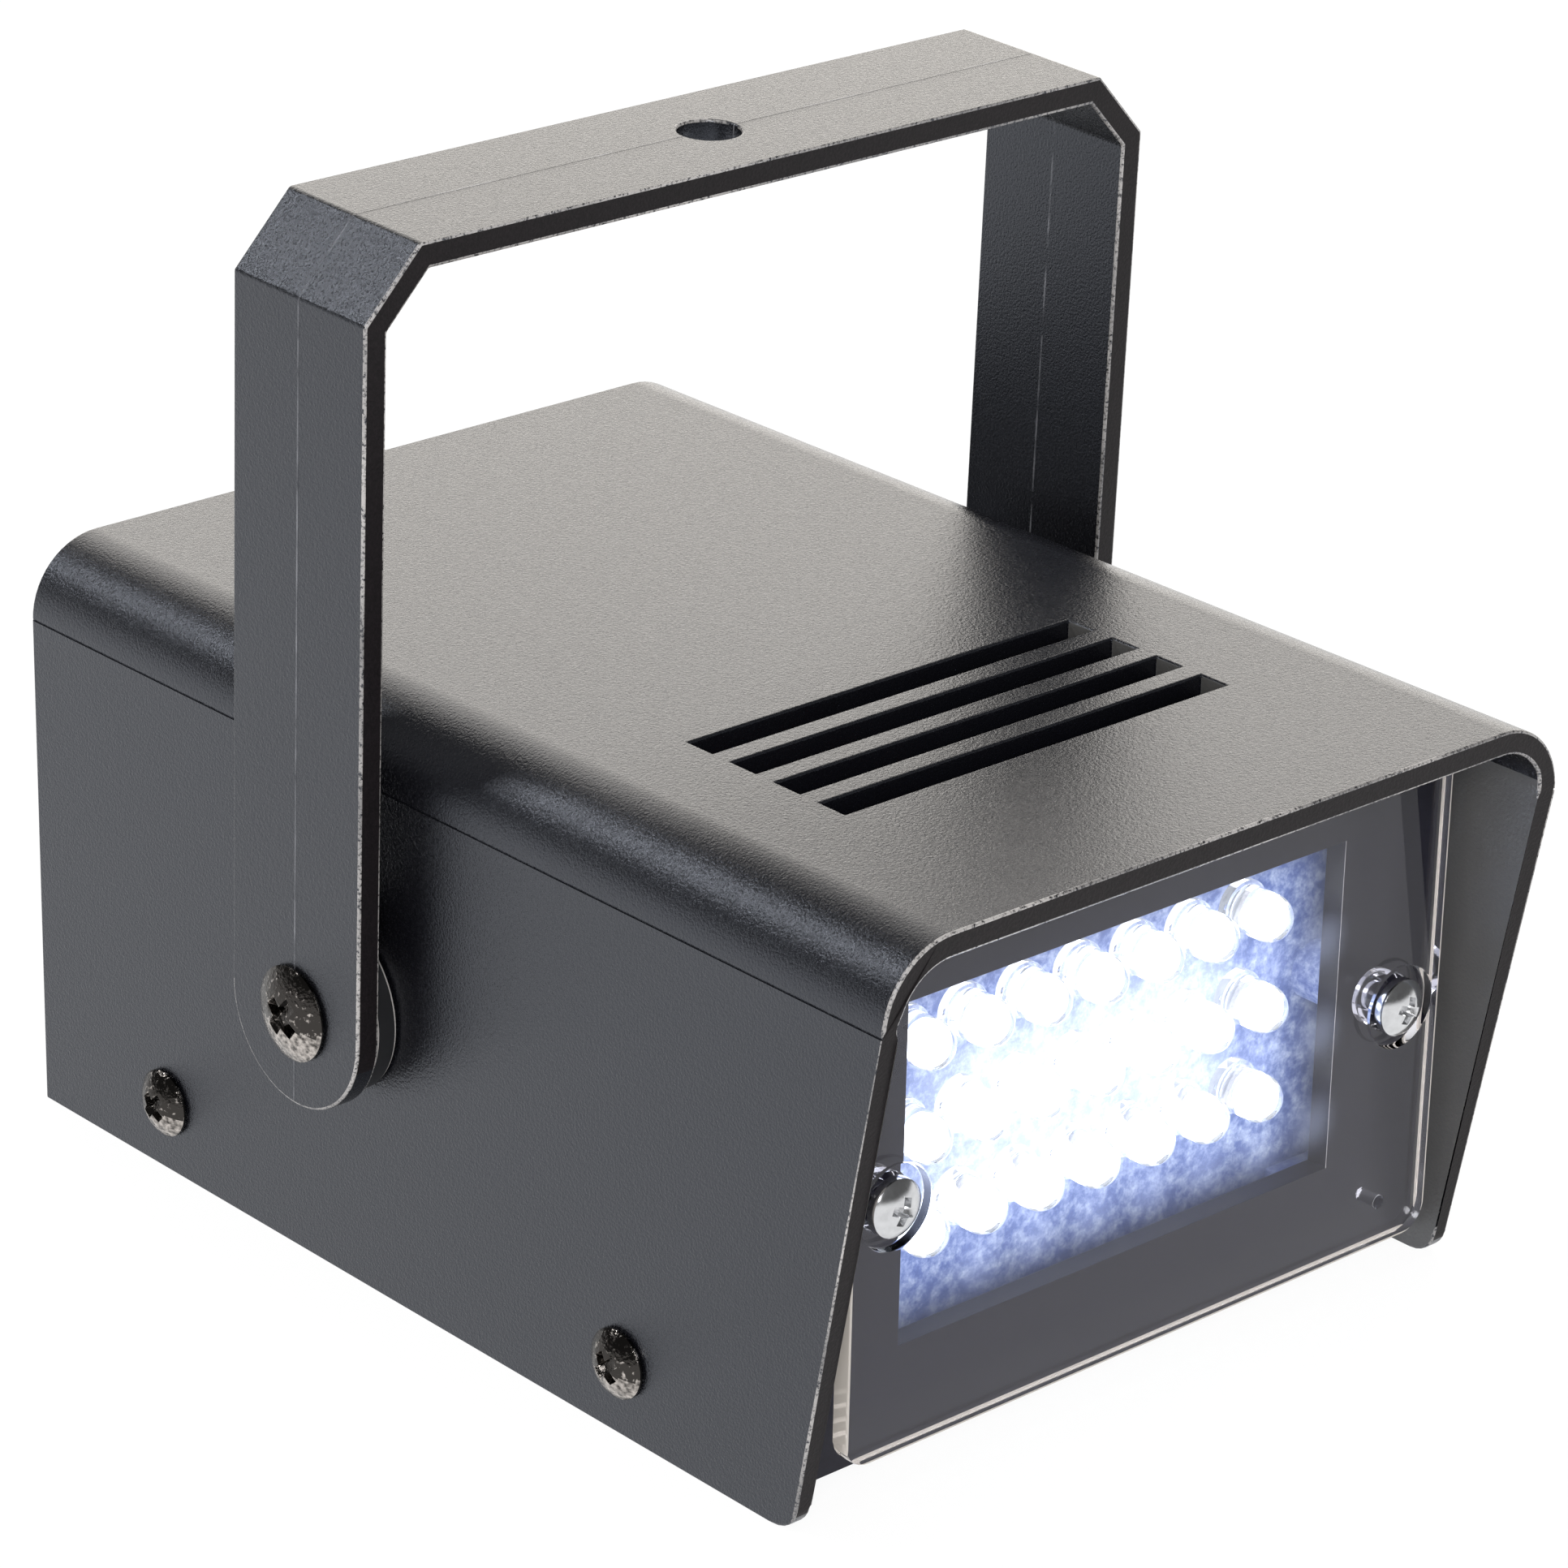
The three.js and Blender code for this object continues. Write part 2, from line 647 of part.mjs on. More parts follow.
function ledBoardSolid() {
  const w = ledBoardWidth / 2;
  const board = new THREE.Shape();
  board.moveTo(-w, ledBoardBottom);
  board.lineTo(w, ledBoardBottom);
  board.lineTo(w, ledBoardTop);
  board.lineTo(-w, ledBoardTop);
  board.closePath();
  for (const { x, z } of ledPlaces) {
    for (const side of [-1, 1]) {
      board.holes.push(roundHole(x + (side * ledLeadSpacing) / 2, z, ledLeadHoleRadius));
    }
  }
  for (const side of [-1, 1]) {
    board.holes.push(roundHole((side * ledBoardScrewSpacing) / 2, ledBoardScrewHeight,
      smallShankRadius + seatGap));
  }
  return prism(board, boardThickness, "forward", [0, ledBoardBack, 0], tinyDivisions);
}

function roundHole(x, z, radius) {
  const hole = new THREE.Path();
  hole.absarc(x, z, radius, 0, Math.PI * 2, true);
  return hole;
}

// An LED pointing along +Z from the back of its flange, with its two leads behind it
function ledSolid() {
  const shoulder = ledLength - ledRadius;
  const dome = quarterRound(0, shoulder, ledRadius).slice(0, -1);
  const profile = [[0, 0], [ledFlangeRadius, 0], [ledFlangeRadius, ledFlangeThickness],
    [ledRadius, ledFlangeThickness], ...dome, [0, ledLength]];
  const body = turned(profile, "up", [0, 0, 0], ledRound);
  const h = ledLeadWidth / 2;
  const tail = seatGap + boardThickness + ledLeadTail;
  const leads = [-1, 1].map((side) => {
    const x = (side * ledLeadSpacing) / 2;
    return boxBetween([x - h, -h, -tail], [x + h, h, ledFlangeThickness / 2]);
  });
  return join(body, ...leads);
}

// Control board and its components

function controlBoardSolid() {
  const shape = new THREE.Shape();
  const w = controlBoardWidth / 2;
  shape.moveTo(-w, controlBoardFront);
  shape.lineTo(w, controlBoardFront);
  shape.lineTo(w, controlBoardRear);
  shape.lineTo(-w, controlBoardRear);
  shape.closePath();
  for (const side of [-1, 1]) {
    const x = side * (w - postInset);
    shape.holes.push(roundHole(x, controlBoardRear - postInset, smallShankRadius + seatGap));
    shape.holes.push(roundHole(x, controlBoardFront + postInset, locatingPinRadius + seatGap));
  }
  return prism(shape, boardThickness, "up", [0, 0, controlBoardBottom], tinyDivisions);
}

const boardEdge = controlBoardWidth / 2 - partEdgeMargin;
const alongBoard = (share) => controlBoardMiddle + (share * controlBoardLength) / 2;
const transformerPlace = [transformerWidth / 2 - boardEdge, alongBoard(transformerShare)];
const capacitorPlace = [boardEdge - capacitorRadius, alongBoard(capacitorShare)];
const rectifierPlace = [boardEdge - rectifierWidth / 2, alongBoard(rectifierShare)];
const chipPlace = [transformerWidth - boardEdge + partGap + chipLength / 2, alongBoard(chipShare)];
const terminalPlace = [postInset * 2 + terminalWidth / 2 - boardEdge, alongBoard(terminalShare)];

function transformerSolid([x, y]) {
  const [w, l] = [transformerWidth / 2, transformerLength / 2];
  const core = boxBetween([x - w, y - l, partSeat], [x + w, y + l, partSeat + transformerHeight]);
  const middle = partSeat + transformerHeight / 2;
  const [a, b] = [windingLength / 2, transformerHeight / 2 - windingMargin];
  const recessFloor = l - windingRecessDepth;
  const recesses = [[-l - cutOverrun, -recessFloor], [recessFloor, l + cutOverrun]].map(([from, to]) =>
    boxBetween([x - a, y + from, middle - b - seatGap], [x + a, y + to, middle + b + seatGap]));
  const winding = rod(b, transformerLength + seatGap * 2, "forward",
    [x, y + l + seatGap, middle], smallRound);
  return join(cut(core, ...recesses), winding);
}

function capacitorSolid([x, y]) {
  const groove = capacitorGrooveDepth;
  const [r, h] = [capacitorRadius, capacitorHeight];
  const rise = capacitorGrooveRise;
  const profile = [[0, 0], [r - groove, 0], [r, groove], [r, rise - groove], [r - groove, rise],
    [r, rise + groove], [r, h - groove], [r - groove, h], [0, h]];
  return turned(profile, "up", [x, y, partSeat], smallRound);
}

function rectifierSolid([x, y]) {
  const [w, t] = [rectifierWidth / 2, rectifierThickness / 2];
  return boxBetween([x - w, y - t, partSeat], [x + w, y + t, partSeat + rectifierHeight]);
}

function terminalSolid([x, y]) {
  const [w, d] = [terminalWidth / 2, terminalDepth / 2];
  const block = boxBetween([x - w, y - d, partSeat], [x + w, y + d, partSeat + terminalHeight]);
  const half = terminalHoleWidth / 2;
  const middle = partSeat + terminalHeight / 2;
  const entries = [-1, 1].map((side) => {
    const centre = x + (side * terminalWidth) / 4;
    return boxBetween([centre - half, y, middle - half],
      [centre + half, y + d + cutOverrun, middle + half]);
  });
  return cut(block, ...entries);
}

function chipSolid([x, y]) {
  const [l, w] = [chipLength / 2, chipWidth / 2];
  const bottom = partSeat + chipStandoff;
  const body = boxBetween([x - l, y - w, bottom], [x + l, y + w, bottom + chipHeight]);
  const leg = chipLegWidth / 2;
  const legs = [];
  for (const side of [-1, 1]) {
    for (let i = 0; i < chipLegsPerSide; i += 1) {
      const centre = x + (i - (chipLegsPerSide - 1) / 2) * chipLegPitch;
      const row = y + side * w;
      legs.push(boxBetween([centre - leg, row - leg, partSeat],
        [centre + leg, row + leg, bottom + chipStandoff]));
    }
  }
  return join(body, ...legs);
}

// A lead from the control board up to the back of the LED board
function wireSolid(x) {
  const start = new THREE.Vector3(x, controlBoardFront + postInset, partSeat);
  const end = new THREE.Vector3(x, ledBoardBack + seatGap, ledBoardTop - wireLandingDrop);
  const route = new THREE.CubicBezierCurve3(
    start,
    start.clone().add(new THREE.Vector3(0, 0, wireRise)),
    end.clone().add(new THREE.Vector3(0, wireSlack, 0)),
    end,
  );
  const section = new THREE.Shape();
  section.absarc(0, 0, wireRadius, 0, Math.PI * 2, false);
  return solidFrom(new THREE.ExtrudeGeometry(section, {
    steps: wireSteps,
    extrudePath: route,
    bevelEnabled: false,
    curveSegments: tinyDivisions,
  }));
}

// Flash rate control

function potSolid() {
  const seat = rearWallInside - seatGap;
  const bushLength = rearWallThickness + seatGap + potBushReach;
  const place = [rateControlSide, seat, rateControlHeight];
  const can = rod(potCanRadius, potCanDepth, "forward", place, smallRound);
  const bush = rod(potBushRadius, bushLength, "back", place, smallRound);
  const bore = rod(potShaftRadius + slipFit, potShaftEngagement + bushLength + cutOverrun, "back",
    [rateControlSide, seat - potShaftEngagement, rateControlHeight], fullRound);
  return cut(join(can, bush), bore);
}

function shaftSolid() {
  const start = rearWallInside - seatGap - potShaftEngagement + seatGap;
  const end = rearReach - knobEndWall - seatGap;
  return rod(potShaftRadius, end - start, "back", [rateControlSide, start, rateControlHeight], fullRound);
}

function potNutSolid() {
  const place = [rateControlSide, rearWallFace + seatGap, rateControlHeight];
  const nut = prism(hexagon(potNutAcrossFlats), potNutThickness, "back", place);
  const hole = rod(potBushRadius + threadGap, potNutThickness + cutOverrun * 2, "back",
    [rateControlSide, rearWallFace + seatGap - cutOverrun, rateControlHeight], smallRound);
  return cut(nut, hole);
}

function knobSolid() {
  const place = [rateControlSide, knobFace, rateControlHeight];
  const body = rod(knobRadius, knobLength, "back", place, fullRound);
  const fluteCircle = knobRadius + knobFluteRadius / 2;
  const flutes = [];
  for (let i = 0; i < knobFluteCount; i += 1) {
    const angle = ((i + 0.5) * Math.PI * 2) / knobFluteCount;
    const x = rateControlSide + fluteCircle * Math.cos(angle);
    const z = rateControlHeight + fluteCircle * Math.sin(angle);
    flutes.push(rod(knobFluteRadius, knobLength, "back", [x, knobFace + knobEndWall, z], fluteRound));
  }
  const bushRecess = rod(potBushRadius + seatGap * 2, rearWallFace + potBushReach + seatGap * 2 - knobFace
    + cutOverrun, "back", [rateControlSide, knobFace - cutOverrun, rateControlHeight], smallRound);
  const socket = rod(potShaftRadius + threadGap, knobLength - knobEndWall + cutOverrun, "back",
    [rateControlSide, knobFace - cutOverrun, rateControlHeight], fullRound);
  const pointerTop = rateControlHeight + knobRadius + cutOverrun;
  const pointer = boxBetween(
    [rateControlSide - knobPointerWidth / 2, rearReach - knobPointerDepth, rateControlHeight],
    [rateControlSide + knobPointerWidth / 2, rearReach + cutOverrun, pointerTop]);
  return cut(body, ...flutes, bushRecess, socket, pointer);
}

// Cable gland

function glandBodySolid() {
  const inner = rearWallInside - glandInnerReach;
  const thread = rod(glandThreadRadius, glandFlangeSeat + seatGap - inner, "back",
    [glandSide, inner, glandHeight], smallRound);
  const flange = prism(hexagon(glandFlangeAcrossFlats), glandFlangeThickness, "back",
    [glandSide, glandFlangeSeat, glandHeight]);
  const spigot = rod(glandSpigotRadius, glandSpigotLength + glandFlangeThickness / 2, "back",
    [glandSide, glandFlangeEnd - glandFlangeThickness / 2, glandHeight], smallRound);
  const bore = rod(glandBoreRadius, glandSpigotEnd - inner + cutOverrun * 2, "back",
    [glandSide, inner - cutOverrun, glandHeight], smallRound);
  return cut(join(thread, flange, spigot), bore);
}

function glandLocknutSolid() {
  const y = rearWallInside - seatGap;
  const nut = prism(hexagon(glandLocknutAcrossFlats), glandLocknutThickness, "forward",
    [glandSide, y, glandHeight]);
  const hole = rod(glandThreadRadius + threadGap, glandLocknutThickness + cutOverrun * 2, "forward",
    [glandSide, y + cutOverrun, glandHeight], smallRound);
  return cut(nut, hole);
}

function glandCapSolid() {
  const length = glandCapEnd - glandCapSeat;
  const round = glandCapRadius - glandSpigotRadius;
  const profile = [
    [glandSpigotRadius + seatGap, 0],
    [glandCapRadius, 0],
    ...quarterRound(glandCapRadius - round, length - round, round),
    [glandBoreRadius, length],
    [glandBoreRadius, length - glandCapWall],
    [glandSpigotRadius + seatGap, length - glandCapWall],
    [glandSpigotRadius + seatGap, 0],
  ];
  return turned(profile, "back", [glandSide, glandCapSeat, glandHeight], smallRound);
}

function glandSealSolid() {
  return tube(glandSealBoreRadius, glandSpigotRadius, glandSealLength, "back",
    [glandSide, glandSpigotEnd + seatGap, glandHeight], smallRound);
}

// Bracket, built about its own pivot axis

function bracketSolid() {
  const across = bracketChamferAcross;
  const down = bracketChamferDown;
  const legTurn = Math.atan2(across, down);
  const topTurn = Math.PI / 2 - legTurn;
  const half = bracketWidth / 2;
  const t = bracketThickness;
  const outside = [
    [legOutside, -half],
    [legOutside, bracketRise - down],
    [legOutside - across, bracketRise],
  ];
  const inside = [
    [legOutside - across - t * Math.tan(topTurn / 2), bracketRise - t],
    [legInside, bracketRise - down - t * Math.tan(legTurn / 2)],
    [legInside, -half],
  ];
  const mirrored = (points) => points.map(([x, z]) => [-x, z]).reverse();
  const outline = [...outside, ...mirrored(outside), ...mirrored(inside), ...inside];
  const shape = new THREE.Shape(outline.map(([x, z]) => new THREE.Vector2(x, z)));
  const strip = prism(shape, bracketWidth, "forward", [0, half, 0]);
  const side = new THREE.Shape();
  side.moveTo(half, 0);
  side.lineTo(half, bracketRise + cutOverrun);
  side.lineTo(-half, bracketRise + cutOverrun);
  side.lineTo(-half, 0);
  side.absarc(0, 0, half, Math.PI, Math.PI * 2, false);
  const rounded = strip.intersect(sidewaysPrism(side, (legOutside + cutOverrun) * 2, endDivisions));
  const pivotHole = rod(pivotShankRadius + slipFit, (legOutside + cutOverrun) * 2, "right",
    [-(legOutside + cutOverrun), 0, 0], fullRound);
  const boltHole = rod(bracketBoltHoleRadius, bracketThickness + cutOverrun * 2, "up",
    [0, 0, bracketRise - bracketThickness - cutOverrun], fullRound);
  return cut(rounded, pivotHole, boltHole);
}

function pivotNutSolid(side) {
  const direction = side > 0 ? "left" : "right";
  const place = [side * pivotNutFace, -pivotSetback, pivotHeight];
  const nut = prism(hexagon(pivotNutAcrossFlats), pivotNutThickness, direction, place);
  const hole = rod(pivotShankRadius + threadGap, pivotNutThickness + cutOverrun * 2, direction,
    [side * (pivotNutFace + cutOverrun), -pivotSetback, pivotHeight], smallRound);
  return cut(nut, hole);
}

function spacerSolid(side) {
  return tube(pivotShankRadius + threadGap, spacerRadius, spacerThickness, side > 0 ? "right" : "left",
    [side * spacerInside, -pivotSetback, pivotHeight], fullRound);
}

// The scene graph

const part = new THREE.Group();
part.name = "strobe_light";
part.position.y = (coverTopLength - rearReach) / 2;

function add(name, solid, finish, parent = part) {
  const mesh = new THREE.Mesh(geometryFrom(solid), new THREE.MeshStandardMaterial(finishes[finish]));
  mesh.name = name;
  parent.add(mesh);
  return mesh;
}

const sideNames = [["left", -1], ["right", 1]];

add("top_cover", coverSolid(), "coverPlastic");
add("chassis", chassisSolid(), "chassisPlastic");
add("lens_cover", lensSolid(), "clearPlastic");

const lensScrew = screwSolid({
  shank: smallShankRadius,
  length: lensScrewLength,
  head: lensScrewHeadRadius,
  height: lensScrewHeadHeight,
  edge: lensScrewHeadEdge,
  segments: smallRound,
});
for (const [sideName, side] of sideNames) {
  const screw = add(`lens_screw_${sideName}`, lensScrew, "chrome");
  screw.rotation.x = Math.PI / 2;
  screw.position.set((side * lensScrewSpacing) / 2, lensScrewSeat, windowCentreHeight);
}

add("led_board", ledBoardSolid(), "whiteBoard");
const led = ledSolid();
for (const { name, x, z } of ledPlaces) {
  const mesh = add(name, led, "ledEpoxy");
  mesh.rotation.x = Math.PI / 2;
  mesh.position.set(x, ledSeat, z);
}

const boardScrew = screwSolid({
  shank: smallShankRadius,
  length: boardScrewLength,
  head: boardScrewHeadRadius,
  height: boardScrewHeadHeight,
  edge: boardScrewHeadEdge,
  segments: holeRound,
});
for (const [sideName, side] of sideNames) {
  const screw = add(`led_board_screw_${sideName}`, boardScrew, "zincSteel");
  screw.rotation.x = -Math.PI / 2;
  screw.position.set((side * ledBoardScrewSpacing) / 2, ledBoardBack + seatGap, ledBoardScrewHeight);
}

const sideScrew = screwSolid({
  shank: smallShankRadius,
  length: sideScrewLength,
  head: sideScrewHeadRadius,
  height: sideScrewHeadHeight,
  edge: sideScrewHeadEdge,
  segments: smallRound,
});
for (const [sideName, side] of sideNames) {
  for (const [endName, setback] of [["rear", rearSideScrewSetback], ["front", frontSideScrewSetback]]) {
    const screw = add(`cover_screw_${sideName}_${endName}`, sideScrew, "blackScrew");
    screw.rotation.y = (side * Math.PI) / 2;
    screw.position.set(side * (coverWidth / 2 + seatGap), -setback, sideScrewHeight);
  }
}

add("control_board", controlBoardSolid(), "greenBoard");
for (const [sideName, side] of sideNames) {
  const screw = add(`control_board_screw_${sideName}`, boardScrew, "zincSteel");
  screw.position.set(side * (controlBoardWidth / 2 - postInset), controlBoardRear - postInset, partSeat);
}

add("supply_transformer", transformerSolid(transformerPlace), "transformerTape");
add("filter_capacitor", capacitorSolid(capacitorPlace), "sleeveVinyl");
add("bridge_rectifier", rectifierSolid(rectifierPlace), "blackNylon");
add("timer_chip", chipSolid(chipPlace), "blackNylon");
add("terminal_block", terminalSolid(terminalPlace), "terminalPlastic");
add("led_wire_positive", wireSolid(wireSpacing / 2), "redInsulation");
add("led_wire_negative", wireSolid(-wireSpacing / 2), "blackInsulation");

add("rate_potentiometer", potSolid(), "zincSteel");
add("rate_shaft", shaftSolid(), "zincSteel");
add("rate_nut", potNutSolid(), "zincSteel");
add("rate_knob", knobSolid(), "knobPlastic");

add("gland_body", glandBodySolid(), "blackNylon");
add("gland_locknut", glandLocknutSolid(), "blackNylon");
add("gland_cap", glandCapSolid(), "blackNylon");
add("gland_seal", glandSealSolid(), "softRubber");

const pivotScrew = screwSolid({
  shank: pivotShankRadius,
  length: pivotHeadSeat - pivotTip,
  head: pivotHeadRadius,
  height: pivotHeadHeight,
  edge: pivotHeadEdge,
  segments: fullRound,
});
for (const [sideName, side] of sideNames) {
  const screw = add(`pivot_screw_${sideName}`, pivotScrew, "blackScrew");
  screw.rotation.y = (side * Math.PI) / 2;
  screw.position.set(side * pivotHeadSeat, -pivotSetback, pivotHeight);
  add(`pivot_nut_${sideName}`, pivotNutSolid(side), "zincSteel");
  add(`pivot_spacer_${sideName}`, spacerSolid(side), "blackNylon");
}

const bracketGroup = new THREE.Group();
bracketGroup.position.set(0, -pivotSetback, pivotHeight);
bracketGroup.rotation.x = THREE.MathUtils.degToRad(bracketTiltDegrees);
part.add(bracketGroup);
add("bracket", bracketSolid(), "bracketPlastic", bracketGroup);

export default part;
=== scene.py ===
"""Dresses the frame of a small LED strobe light: grained shells, tilting bracket, lit lens and screws."""
import json
import math

import bmesh
import bpy
from bpy.props import FloatProperty, FloatVectorProperty, IntProperty, PointerProperty
from mathutils import Matrix, Vector


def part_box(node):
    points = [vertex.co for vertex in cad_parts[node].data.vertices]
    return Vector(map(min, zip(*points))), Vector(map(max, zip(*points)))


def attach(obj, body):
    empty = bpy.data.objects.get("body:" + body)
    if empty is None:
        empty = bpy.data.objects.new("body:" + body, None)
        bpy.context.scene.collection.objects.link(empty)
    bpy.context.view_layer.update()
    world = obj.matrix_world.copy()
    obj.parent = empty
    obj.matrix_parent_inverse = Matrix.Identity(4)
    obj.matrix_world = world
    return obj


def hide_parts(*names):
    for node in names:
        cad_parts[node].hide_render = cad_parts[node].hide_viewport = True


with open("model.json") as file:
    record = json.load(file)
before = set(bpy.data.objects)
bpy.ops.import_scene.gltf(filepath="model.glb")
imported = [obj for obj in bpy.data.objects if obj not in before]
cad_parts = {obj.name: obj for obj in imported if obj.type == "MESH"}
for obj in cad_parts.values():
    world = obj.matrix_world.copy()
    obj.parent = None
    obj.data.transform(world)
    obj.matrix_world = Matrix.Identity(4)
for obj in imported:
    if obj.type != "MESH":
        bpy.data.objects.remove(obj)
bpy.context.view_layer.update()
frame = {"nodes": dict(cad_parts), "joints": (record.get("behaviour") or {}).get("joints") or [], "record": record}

bl_info = {
    "name": "LED Strobe Light",
    "version": (1, 0, 0),
    "blender": (4, 5, 0),
    "location": "View3D > Sidebar > Strobe",
    "description": "Models and finishes a small LED strobe light around its construction frame",
    "category": "Object",
}

MM = 0.001

# How far a cutter runs past the face that it cuts
OVERRUN = 1 * MM
# Two places nearer than this count as one
NEAR = 0.02 * MM
# Vertices nearer than this are merged
MERGE = 0.002 * MM
# How far a finished piece's box may differ from that of its nodes
BOX_SLACK = 0.4 * MM
# A face looks along an axis where that part of its normal is above the first, and runs along it
# where it is below the second, or for a face that has to be exact, below the third
STRAIGHT = 0.95
FLAT = 0.2
EXACTLY_FLAT = 0.01
# An edge runs along an axis if that is this share of its length
PARALLEL = 0.999
# Faces that meet at less than this angle, in degrees, look like one smooth surface; the second is
# for turned pieces
SMOOTH_LIMIT = 34
ROUND_LIMIT = 40
# Size of a cross recess's bottom as a share of its mouth: along its arms, in depth and across them
CROSS_TAPER = (0.5, 1, 0.7)
# Faces beyond this share of the bracket's half width lie on its narrow edges
EDGE_SHARE = 0.9
# The bracket's foot is rounded by just less than its half width, so that the roundings don't meet
FOOT_SHARE = 0.9995
# Area above which an outer face of the bracket carries the mould line
LINE_FACE = (0.8 * MM) ** 2

# Screw heads get a brighter copy of their plating, a painted highlight, where their normal's Z is below this
HIGHLIGHT_BELOW = -0.1
# Noise from which black plating starts to glint and at which it wears through, on most of a head and on its lower
# side with the painted highlight
SOUND_GLINTS = (0.6, 0.74)
HIGHLIGHT_GLINTS = (0.3, 0.66)
# Nearly all of a noise texture's values lie between these
NOISE_SPAN = {"From Min": 0.3, "From Max": 0.7}

# Grain width, grain depth and roughness of ABS as moulded, on edges with a painted highlight, and on the cover's
# inside with painted light
MOULDED = (0.28 * MM, 0.075 * MM, 0.22)
HIGHLIGHT_GRAIN = (0.34 * MM, 0.05 * MM, 0.28)
INSIDE_GRAIN = (0.34 * MM, 0.07 * MM, 0.4)
# How far the grain's roughness goes up and down
GLOSS_SPREAD = 0.1
# IOR of ABS, and of the chassis as matched to how little it shines behind the lens
ABS_IOR, CHASSIS_IOR = 1.54, 1.27
# Specular level of ABS on its resin-rich skin and on the faces with painted shade, where 0.5 is what its IOR gives
SKIN_GLOSS = 0.7
CORE_GLOSS = 0.22
# Painted blue tint on the skin's reflections, standing in for the cool light that the sides reflect
COOL_REFLECTION_TINT = (0.8, 0.86, 1, 1)
# Patches of slightly uneven black
CLOUD_SIZE = 14 * MM
# Length of the stretches in which the bracket's mould line shows or not
LINE_BREAK = 4 * MM
# Torn-looking grain on the front and rear faces that carry the painted shade
TEAR_SIZE, TEAR_DEPTH = 0.3 * MM, 0.05 * MM
# Unevenness left by a plain die
DIE_SIZE, DIE_DEPTH = 0.6 * MM, 0.02 * MM
# Patches of duller bright plating, and how much rougher they are
PLATING_SIZE, PLATING_DEPTH, PLATING_DULLING = 0.9 * MM, 0.03 * MM, 0.08
# Pits in black zinc plating
PIT_SIZE, PIT_DEPTH = 0.55 * MM, 0.1 * MM
# Ripples that the die left in the lens
RIPPLE_SIZE, RIPPLE_DEPTH = 9 * MM, 0.05 * MM
# Below acrylic's 1.49, as matched to how little of the floor the real plate reflects
ACRYLIC_IOR, LENS_IOR = 1.49, 1.29
# How much of the pale, glowing painted highlight there is along the plate's rim
LENS_HIGHLIGHT_SHARE = 0.6
# Light that the lens scatters: an even veil, and brighter pools before the LEDs with their reach
LENS_VEIL = 0.14
LENS_POOL = 0.1
LENS_POOL_REACH = 4.2 * MM
# Flow in cast epoxy and grains in the potted phosphor
FLOW_SIZE, PHOSPHOR_SIZE = 1.5 * MM, 0.5 * MM
# Mottling of the lit board, how far the flood of light whitens it, and the weave of plain boards
MOTTLE_SIZE, FLOOD_WHITENING, WEAVE_SIZE = 1.4 * MM, 0.65, 0.8 * MM

# Plain plastics: slot, material name, colour and roughness
PLASTICS = (
    # Moulded nylon, satin and near black
    ("black_nylon", "Nylon_moulded_black", "#1c1c1e", 0.45),
    # Moulded rubber, matt
    ("soft_rubber", "Rubber_moulded", "#161617", 0.7),
    # Moulded ABS of the knob, satin
    ("knob_plastic", "ABS_moulded_knob", "#1f1f22", 0.4),
    # Shrunk vinyl sleeve of the capacitor, with a soft shine
    ("sleeve_vinyl", "Vinyl_shrunk_sleeve", "#22304f", 0.3),
    # Yellow polyester tape wound on the transformer, with a soft shine
    ("transformer_tape", "Polyester_wound_tape", "#c9b04c", 0.35),
    # Green moulded polyamide, satin
    ("terminal_plastic", "Polyamide_moulded_green", "#2f7a4b", 0.4),
    # Extruded vinyl insulation, satin
    ("red_insulation", "Vinyl_extruded_red", "#a3201c", 0.4),
    ("black_insulation", "Vinyl_extruded_black", "#1b1b1c", 0.4),
)

# Faces in a lens corner, up an LED's dome, up its core and round a spacer
LENS_STEPS, DOME_STEPS, CORE_STEPS, SPACER_STEPS = 8, 10, 8, 96
# How far the core's middle is from the LED's tip, as a share of the LED's radius, and how wide its
# back is, as a share of its own radius
CORE_SETBACK, CORE_BACK = 1.15, 0.8
# How far an LED's leads reach into its flange
LEAD_OVERLAP = 0.1 * MM
# LEDs across and up
LED_COLUMNS, LED_ROWS = 7, 3
# Soft rectangles of light, in mm: how far right and up their middle is from the LEDs' middle, and how
# far across and up they run past the outermost LEDs, inside and outside their soft edge
FIELDS = {
    "field": ((0, 0), (2, 2), (4, 4)),
    "veil": ((-6, 4), (-10, -6), (2, 6)),
    "board": ((3, -3), (1, 2), (13, 12)),
    "flood": ((0, -3.5), (-9, -4), (4, 3)),
}

# Soft boxes: place in metres, width, power in watts and tint
LAMPS = {
    "camera_side_soft_box": ((-0.6, -0.66, 0.5), 0.3, 4, (1, 1, 1)),
    "rear_left_soft_box": ((-0.92, 1.37, 1.34), 0.42, 8, (1, 1, 1)),
    "rear_right_soft_box": ((0.9, 1.0, 0.56), 1.5, 15, (1, 0.94, 0.85)),
}
# What the soft boxes look at, the floor's width and the camera's nearest reach, all in metres
LAMP_AIM = Vector((0, 0, 0.04))
FLOOR_WIDTH = 8
NEAREST = 0.01
# Width of the camera's sensor in millimetres
SENSOR = 36
# Strength of the white that the eye sees on the floor, and its share over the matt paper
FLOOR_WHITE = 1.04
FLOOR_SHARE = 0.9


def linear(hex_colour):
    """Turn an sRGB hex colour into Blender's linear red, green and blue."""
    shares = [int(hex_colour[i:i + 2], 16) / 255 for i in (1, 3, 5)]
    return [c / 12.92 if c <= 0.04045 else ((c + 0.055) / 1.055) ** 2.4 for c in shares]


def length(name, description, millimetres):
    """A length that a user can change, with its default in millimetres."""
    return FloatProperty(name=name, description=description, default=millimetres * MM, min=0,
                         precision=5, unit="LENGTH")


def angle(name, description, degrees):
    """An angle that a user can change, with its default in degrees."""
    return FloatProperty(name=name, description=description, default=math.radians(degrees),
                         subtype="ANGLE")


def share(name, description, default):
    """A plain number that a user can change."""
    return FloatProperty(name=name, description=description, default=default, min=0)


